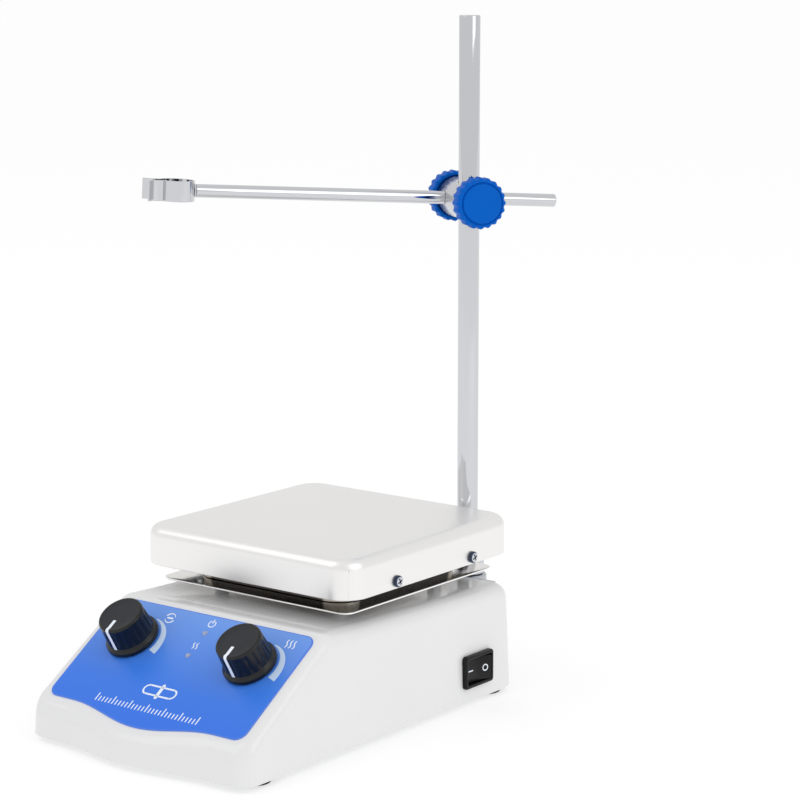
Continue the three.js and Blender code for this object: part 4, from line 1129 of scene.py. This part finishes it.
def clamp_knob_shape():
    """Scalloped rim, raised face disc, hollow towards -Z."""
    r, t = CLAMP_KNOB_R, KNOB_T
    outer = [(5.0, t - 2.6), (r - 2.7, t - 2.6), (r - 2.3, t - 3.2), (r - 2.1, 0.15), (r - 1.9, 0.0)]
    outer += [(r - 0.55, 0.0), (r - 0.12, 0.3), (r, 0.8), (r, t - 2.6), (r - 0.25, t - 1.7), (r - 0.8, t - 1.0)]
    outer += [(r - 1.6, t - 0.65), (9.75, t - 0.65), (9.45, t - 1.15), (9.1, t - 1.15), (8.9, t - 0.45)]
    outer += [(8.5, t - 0.05), (8.0, t), (0, t)]
    rim_first, rim_last = 5, 10
    edge = [0.0] * len(outer)
    for k in range(rim_first, rim_last + 1):
        edge[k] = 1.0
    edge[rim_last + 1] = 0.6

    def scallop(angle, index):
        return edge[index] * 0.45 * (cos(SCALLOPS * angle) - 1) / 2 * 1.6

    return lathe(outer, SCALLOPS * 12, scallop)


def build_clamp_knobs():
    for side, sign in (("front", 1), ("rear", -1)):
        body = side + "_thumbscrew"
        axis = CLAMP_AXIS * sign
        face = extent(side + "_clamp_knob", CLAMP_AT, axis)[1]
        spot = place(CLAMP_AT + axis * (face - KNOB_T), axis)
        verts, faces = clamp_knob_shape()
        n = SCALLOPS * 12
        faces.append(list(range(n))[::-1])
        knob, screw = side + "_clamp_knob", side + "_clamp_screw"
        piece(side + "_scalloped_knob", (verts, faces), CLAMP_BLUE, body, (knob,), spot, sharp=42)
        screw_end = extent(side + "_clamp_screw", CLAMP_AT, axis)[0]
        tip = screw_end - (face - KNOB_T)
        pitch, r = 0.9, 2.95
        profile = [(0, tip), (r - 0.6, tip), (r - 0.2, tip + 0.5)]
        z = tip + 0.6
        while z < -2.6:
            profile += [(r - 0.3, z), (r, z + pitch * 0.45)]
            z += pitch
        profile += [(r - 0.2, -1.7), (r - 0.2, -1.5), (4.4, -1.5), (4.6, -1.3), (4.6, -0.4), (4.4, -0.2)]
        profile += [(4.0, -0.15), (4.0, KNOB_T - 2.65), (0, KNOB_T - 2.65)]
        thread = lathe(profile, 40)
        piece(side + "_screw_thread", thread, PLATED, body, (screw,), spot, sharp=50)


def build_arm():
    near, far = extent("arm_rod", ARM_AT, ARM_OUT)
    r = 3.0
    profile = [(0, near), (r - 0.5, near), (r - 0.1, near + 0.3), (r, near + 0.6), (r, far - 0.3)]
    profile += [(r - 0.3, far), (0, far)]
    piece("arm_bar", lathe(profile, 64), CHROME, "arm", ("arm_rod",), place(ARM_AT, ARM_OUT))


def build_clip():
    """One bent strip: a ring open towards the free end, its two ends flared, riveted to the arm."""
    near = extent("spring_clip", ARM_AT, ARM_OUT)[0]
    thick, height, lip, mouth = 0.8, 9.2, 6.0, radians(31)
    r = 7.8
    centre = near + r + thick / 2
    start = pi - mouth
    angles = [start - (2 * start) * k / 60 for k in range(61)]
    ring = [Vector((r * cos(a), r * sin(a), 0)) for a in angles]
    tip = Vector((-r - lip, 6.6, 0))
    knee = ring[0]
    sag = [Vector((0, -1.1 * sin(pi * (k / 8)), 0)) for k in range(8)]
    curl = [tip + (knee - tip) * (k / 8) + sag[k] for k in range(8)]
    path = curl + ring + [Vector((p.x, -p.y, 0)) for p in curl[::-1]]
    w, h, e = thick / 2, height / 2, 0.18
    section = [(-w, -h + e), (-w + e, -h), (w - e, -h), (w, -h + e)]
    section += [(w, h - e), (w - e, h), (-w + e, h), (-w, h - e)]
    across = UP.cross(ARM_OUT).normalized()
    lift = ARM_OUT.cross(across).normalized()
    turn = Matrix((-ARM_OUT, -across, lift)).transposed().to_4x4()
    spot = Matrix.Translation((ARM_AT + ARM_OUT * centre) * MM) @ turn @ UPRIGHT
    piece("clip_strip", sweep(path, section), CHROME, "clip", ("spring_clip",), spot, sharp=30)
    rivet = lathe([(0, 0), (1.7, 0), (1.6, 0.35), (1.0, 0.6), (0, 0.7)], 24)
    inside = place(ARM_AT + ARM_OUT * (near + thick), ARM_OUT)
    piece("clip_rivet", rivet, PLATED, "clip", (), inside)


# ---- CAD nodes that keep their own shape ----
KEPT = {
    "bottom_cover": GREY,
    "stirring_potentiometer": POT_BODY,
    "heating_potentiometer": POT_BODY,
    "stirring_knob_shaft": ZINC,
    "heating_knob_shaft": ZINC,
    "heater_plate": CAST,
    "magnet_holder": CAST,
    "insulation_pad": WOOL,
    "cover_bracket_left": ZINC,
    "cover_bracket_right": ZINC,
    "motor_bracket": ZINC,
    "drive_motor": ZINC,
    "drive_shaft": POLISHED,
    "magnet_a": MAGNET,
    "magnet_b": MAGNET,
    "circuit_board": CIRCUIT,
}


def dress_kept():
    for name, material in KEPT.items():
        node = frame["nodes"][name]
        node.data.materials.clear()
        node.data.materials.append(material)


# ---- Stage ----
CAMERA_AT = (0.7064, -0.8634, 0.2572)
CAMERA_TILT, CAMERA_TURN = 79.67, 37.64  # degrees from straight down, and from looking along +Y
CAMERA_LENS = 114.5


def build_camera():
    data = bpy.data.cameras.new("camera")
    data.sensor_width = 36
    data.lens = CAMERA_LENS
    camera = added("camera", data)
    camera.location = CAMERA_AT
    camera.rotation_euler = (radians(CAMERA_TILT), 0, radians(CAMERA_TURN))
    bpy.context.scene.camera = camera


def area(name, at, size, power):
    """Soft light that faces the object."""
    data = bpy.data.lights.new(name, "AREA")
    data.shape = "RECTANGLE"
    data.size, data.size_y = size
    data.energy = power
    light = added(name, data)
    light.location = at
    light.rotation_euler = Vector(at).to_track_quat("Z", "Y").to_euler()


FLOOR_HALF = 30  # metres
FLOOR_TONE, FLOOR_GLOW = 0.42, 0.62
WORLD_GLOW = 0.86


def build_floor():
    n = Nodes("floor_paper")
    n.set("Base Color", (FLOOR_TONE, FLOOR_TONE, FLOOR_TONE, 1))
    n.set("Roughness", 1.0)
    n.set("Specular IOR Level", 0.0)
    n.set("Emission Color", (1, 1, 1, 1))
    n.set("Emission Strength", FLOOR_GLOW)
    mesh = bpy.data.meshes.new("floor")
    mesh.from_pydata(rectangle(FLOOR_HALF, FLOOR_HALF, GROUND * MM), [], [range(4)])
    mesh.materials.append(n.material)
    obj = added("floor", mesh)


def build_studio():
    area("key", (-0.9, -1.1, 1.5), (1.2, 1.2), 3.2)
    area("fill", (1.5, -0.1, 0.9), (1.0, 1.2), 4)
    world = bpy.data.worlds.new("studio")
    world.use_nodes = True
    background = world.node_tree.nodes["Background"]
    background.inputs["Color"].default_value = (1, 1, 1, 1)
    background.inputs["Strength"].default_value = WORLD_GLOW
    bpy.context.scene.world = world
    bpy.context.scene.view_settings.view_transform = "Standard"
    bpy.context.scene.view_settings.look = "None"


build_camera()
build_casing()
build_label()
print_marks()
build_lamps()
build_knobs()
build_switch()
build_cover()
build_cover_screws()
build_tray()
build_housing()
build_spacers()
build_feet()
build_inlet()
build_bracket()
build_rod()
build_boss()
build_clamp_knobs()
build_arm()
build_clip()
dress_kept()
build_floor()
build_studio()
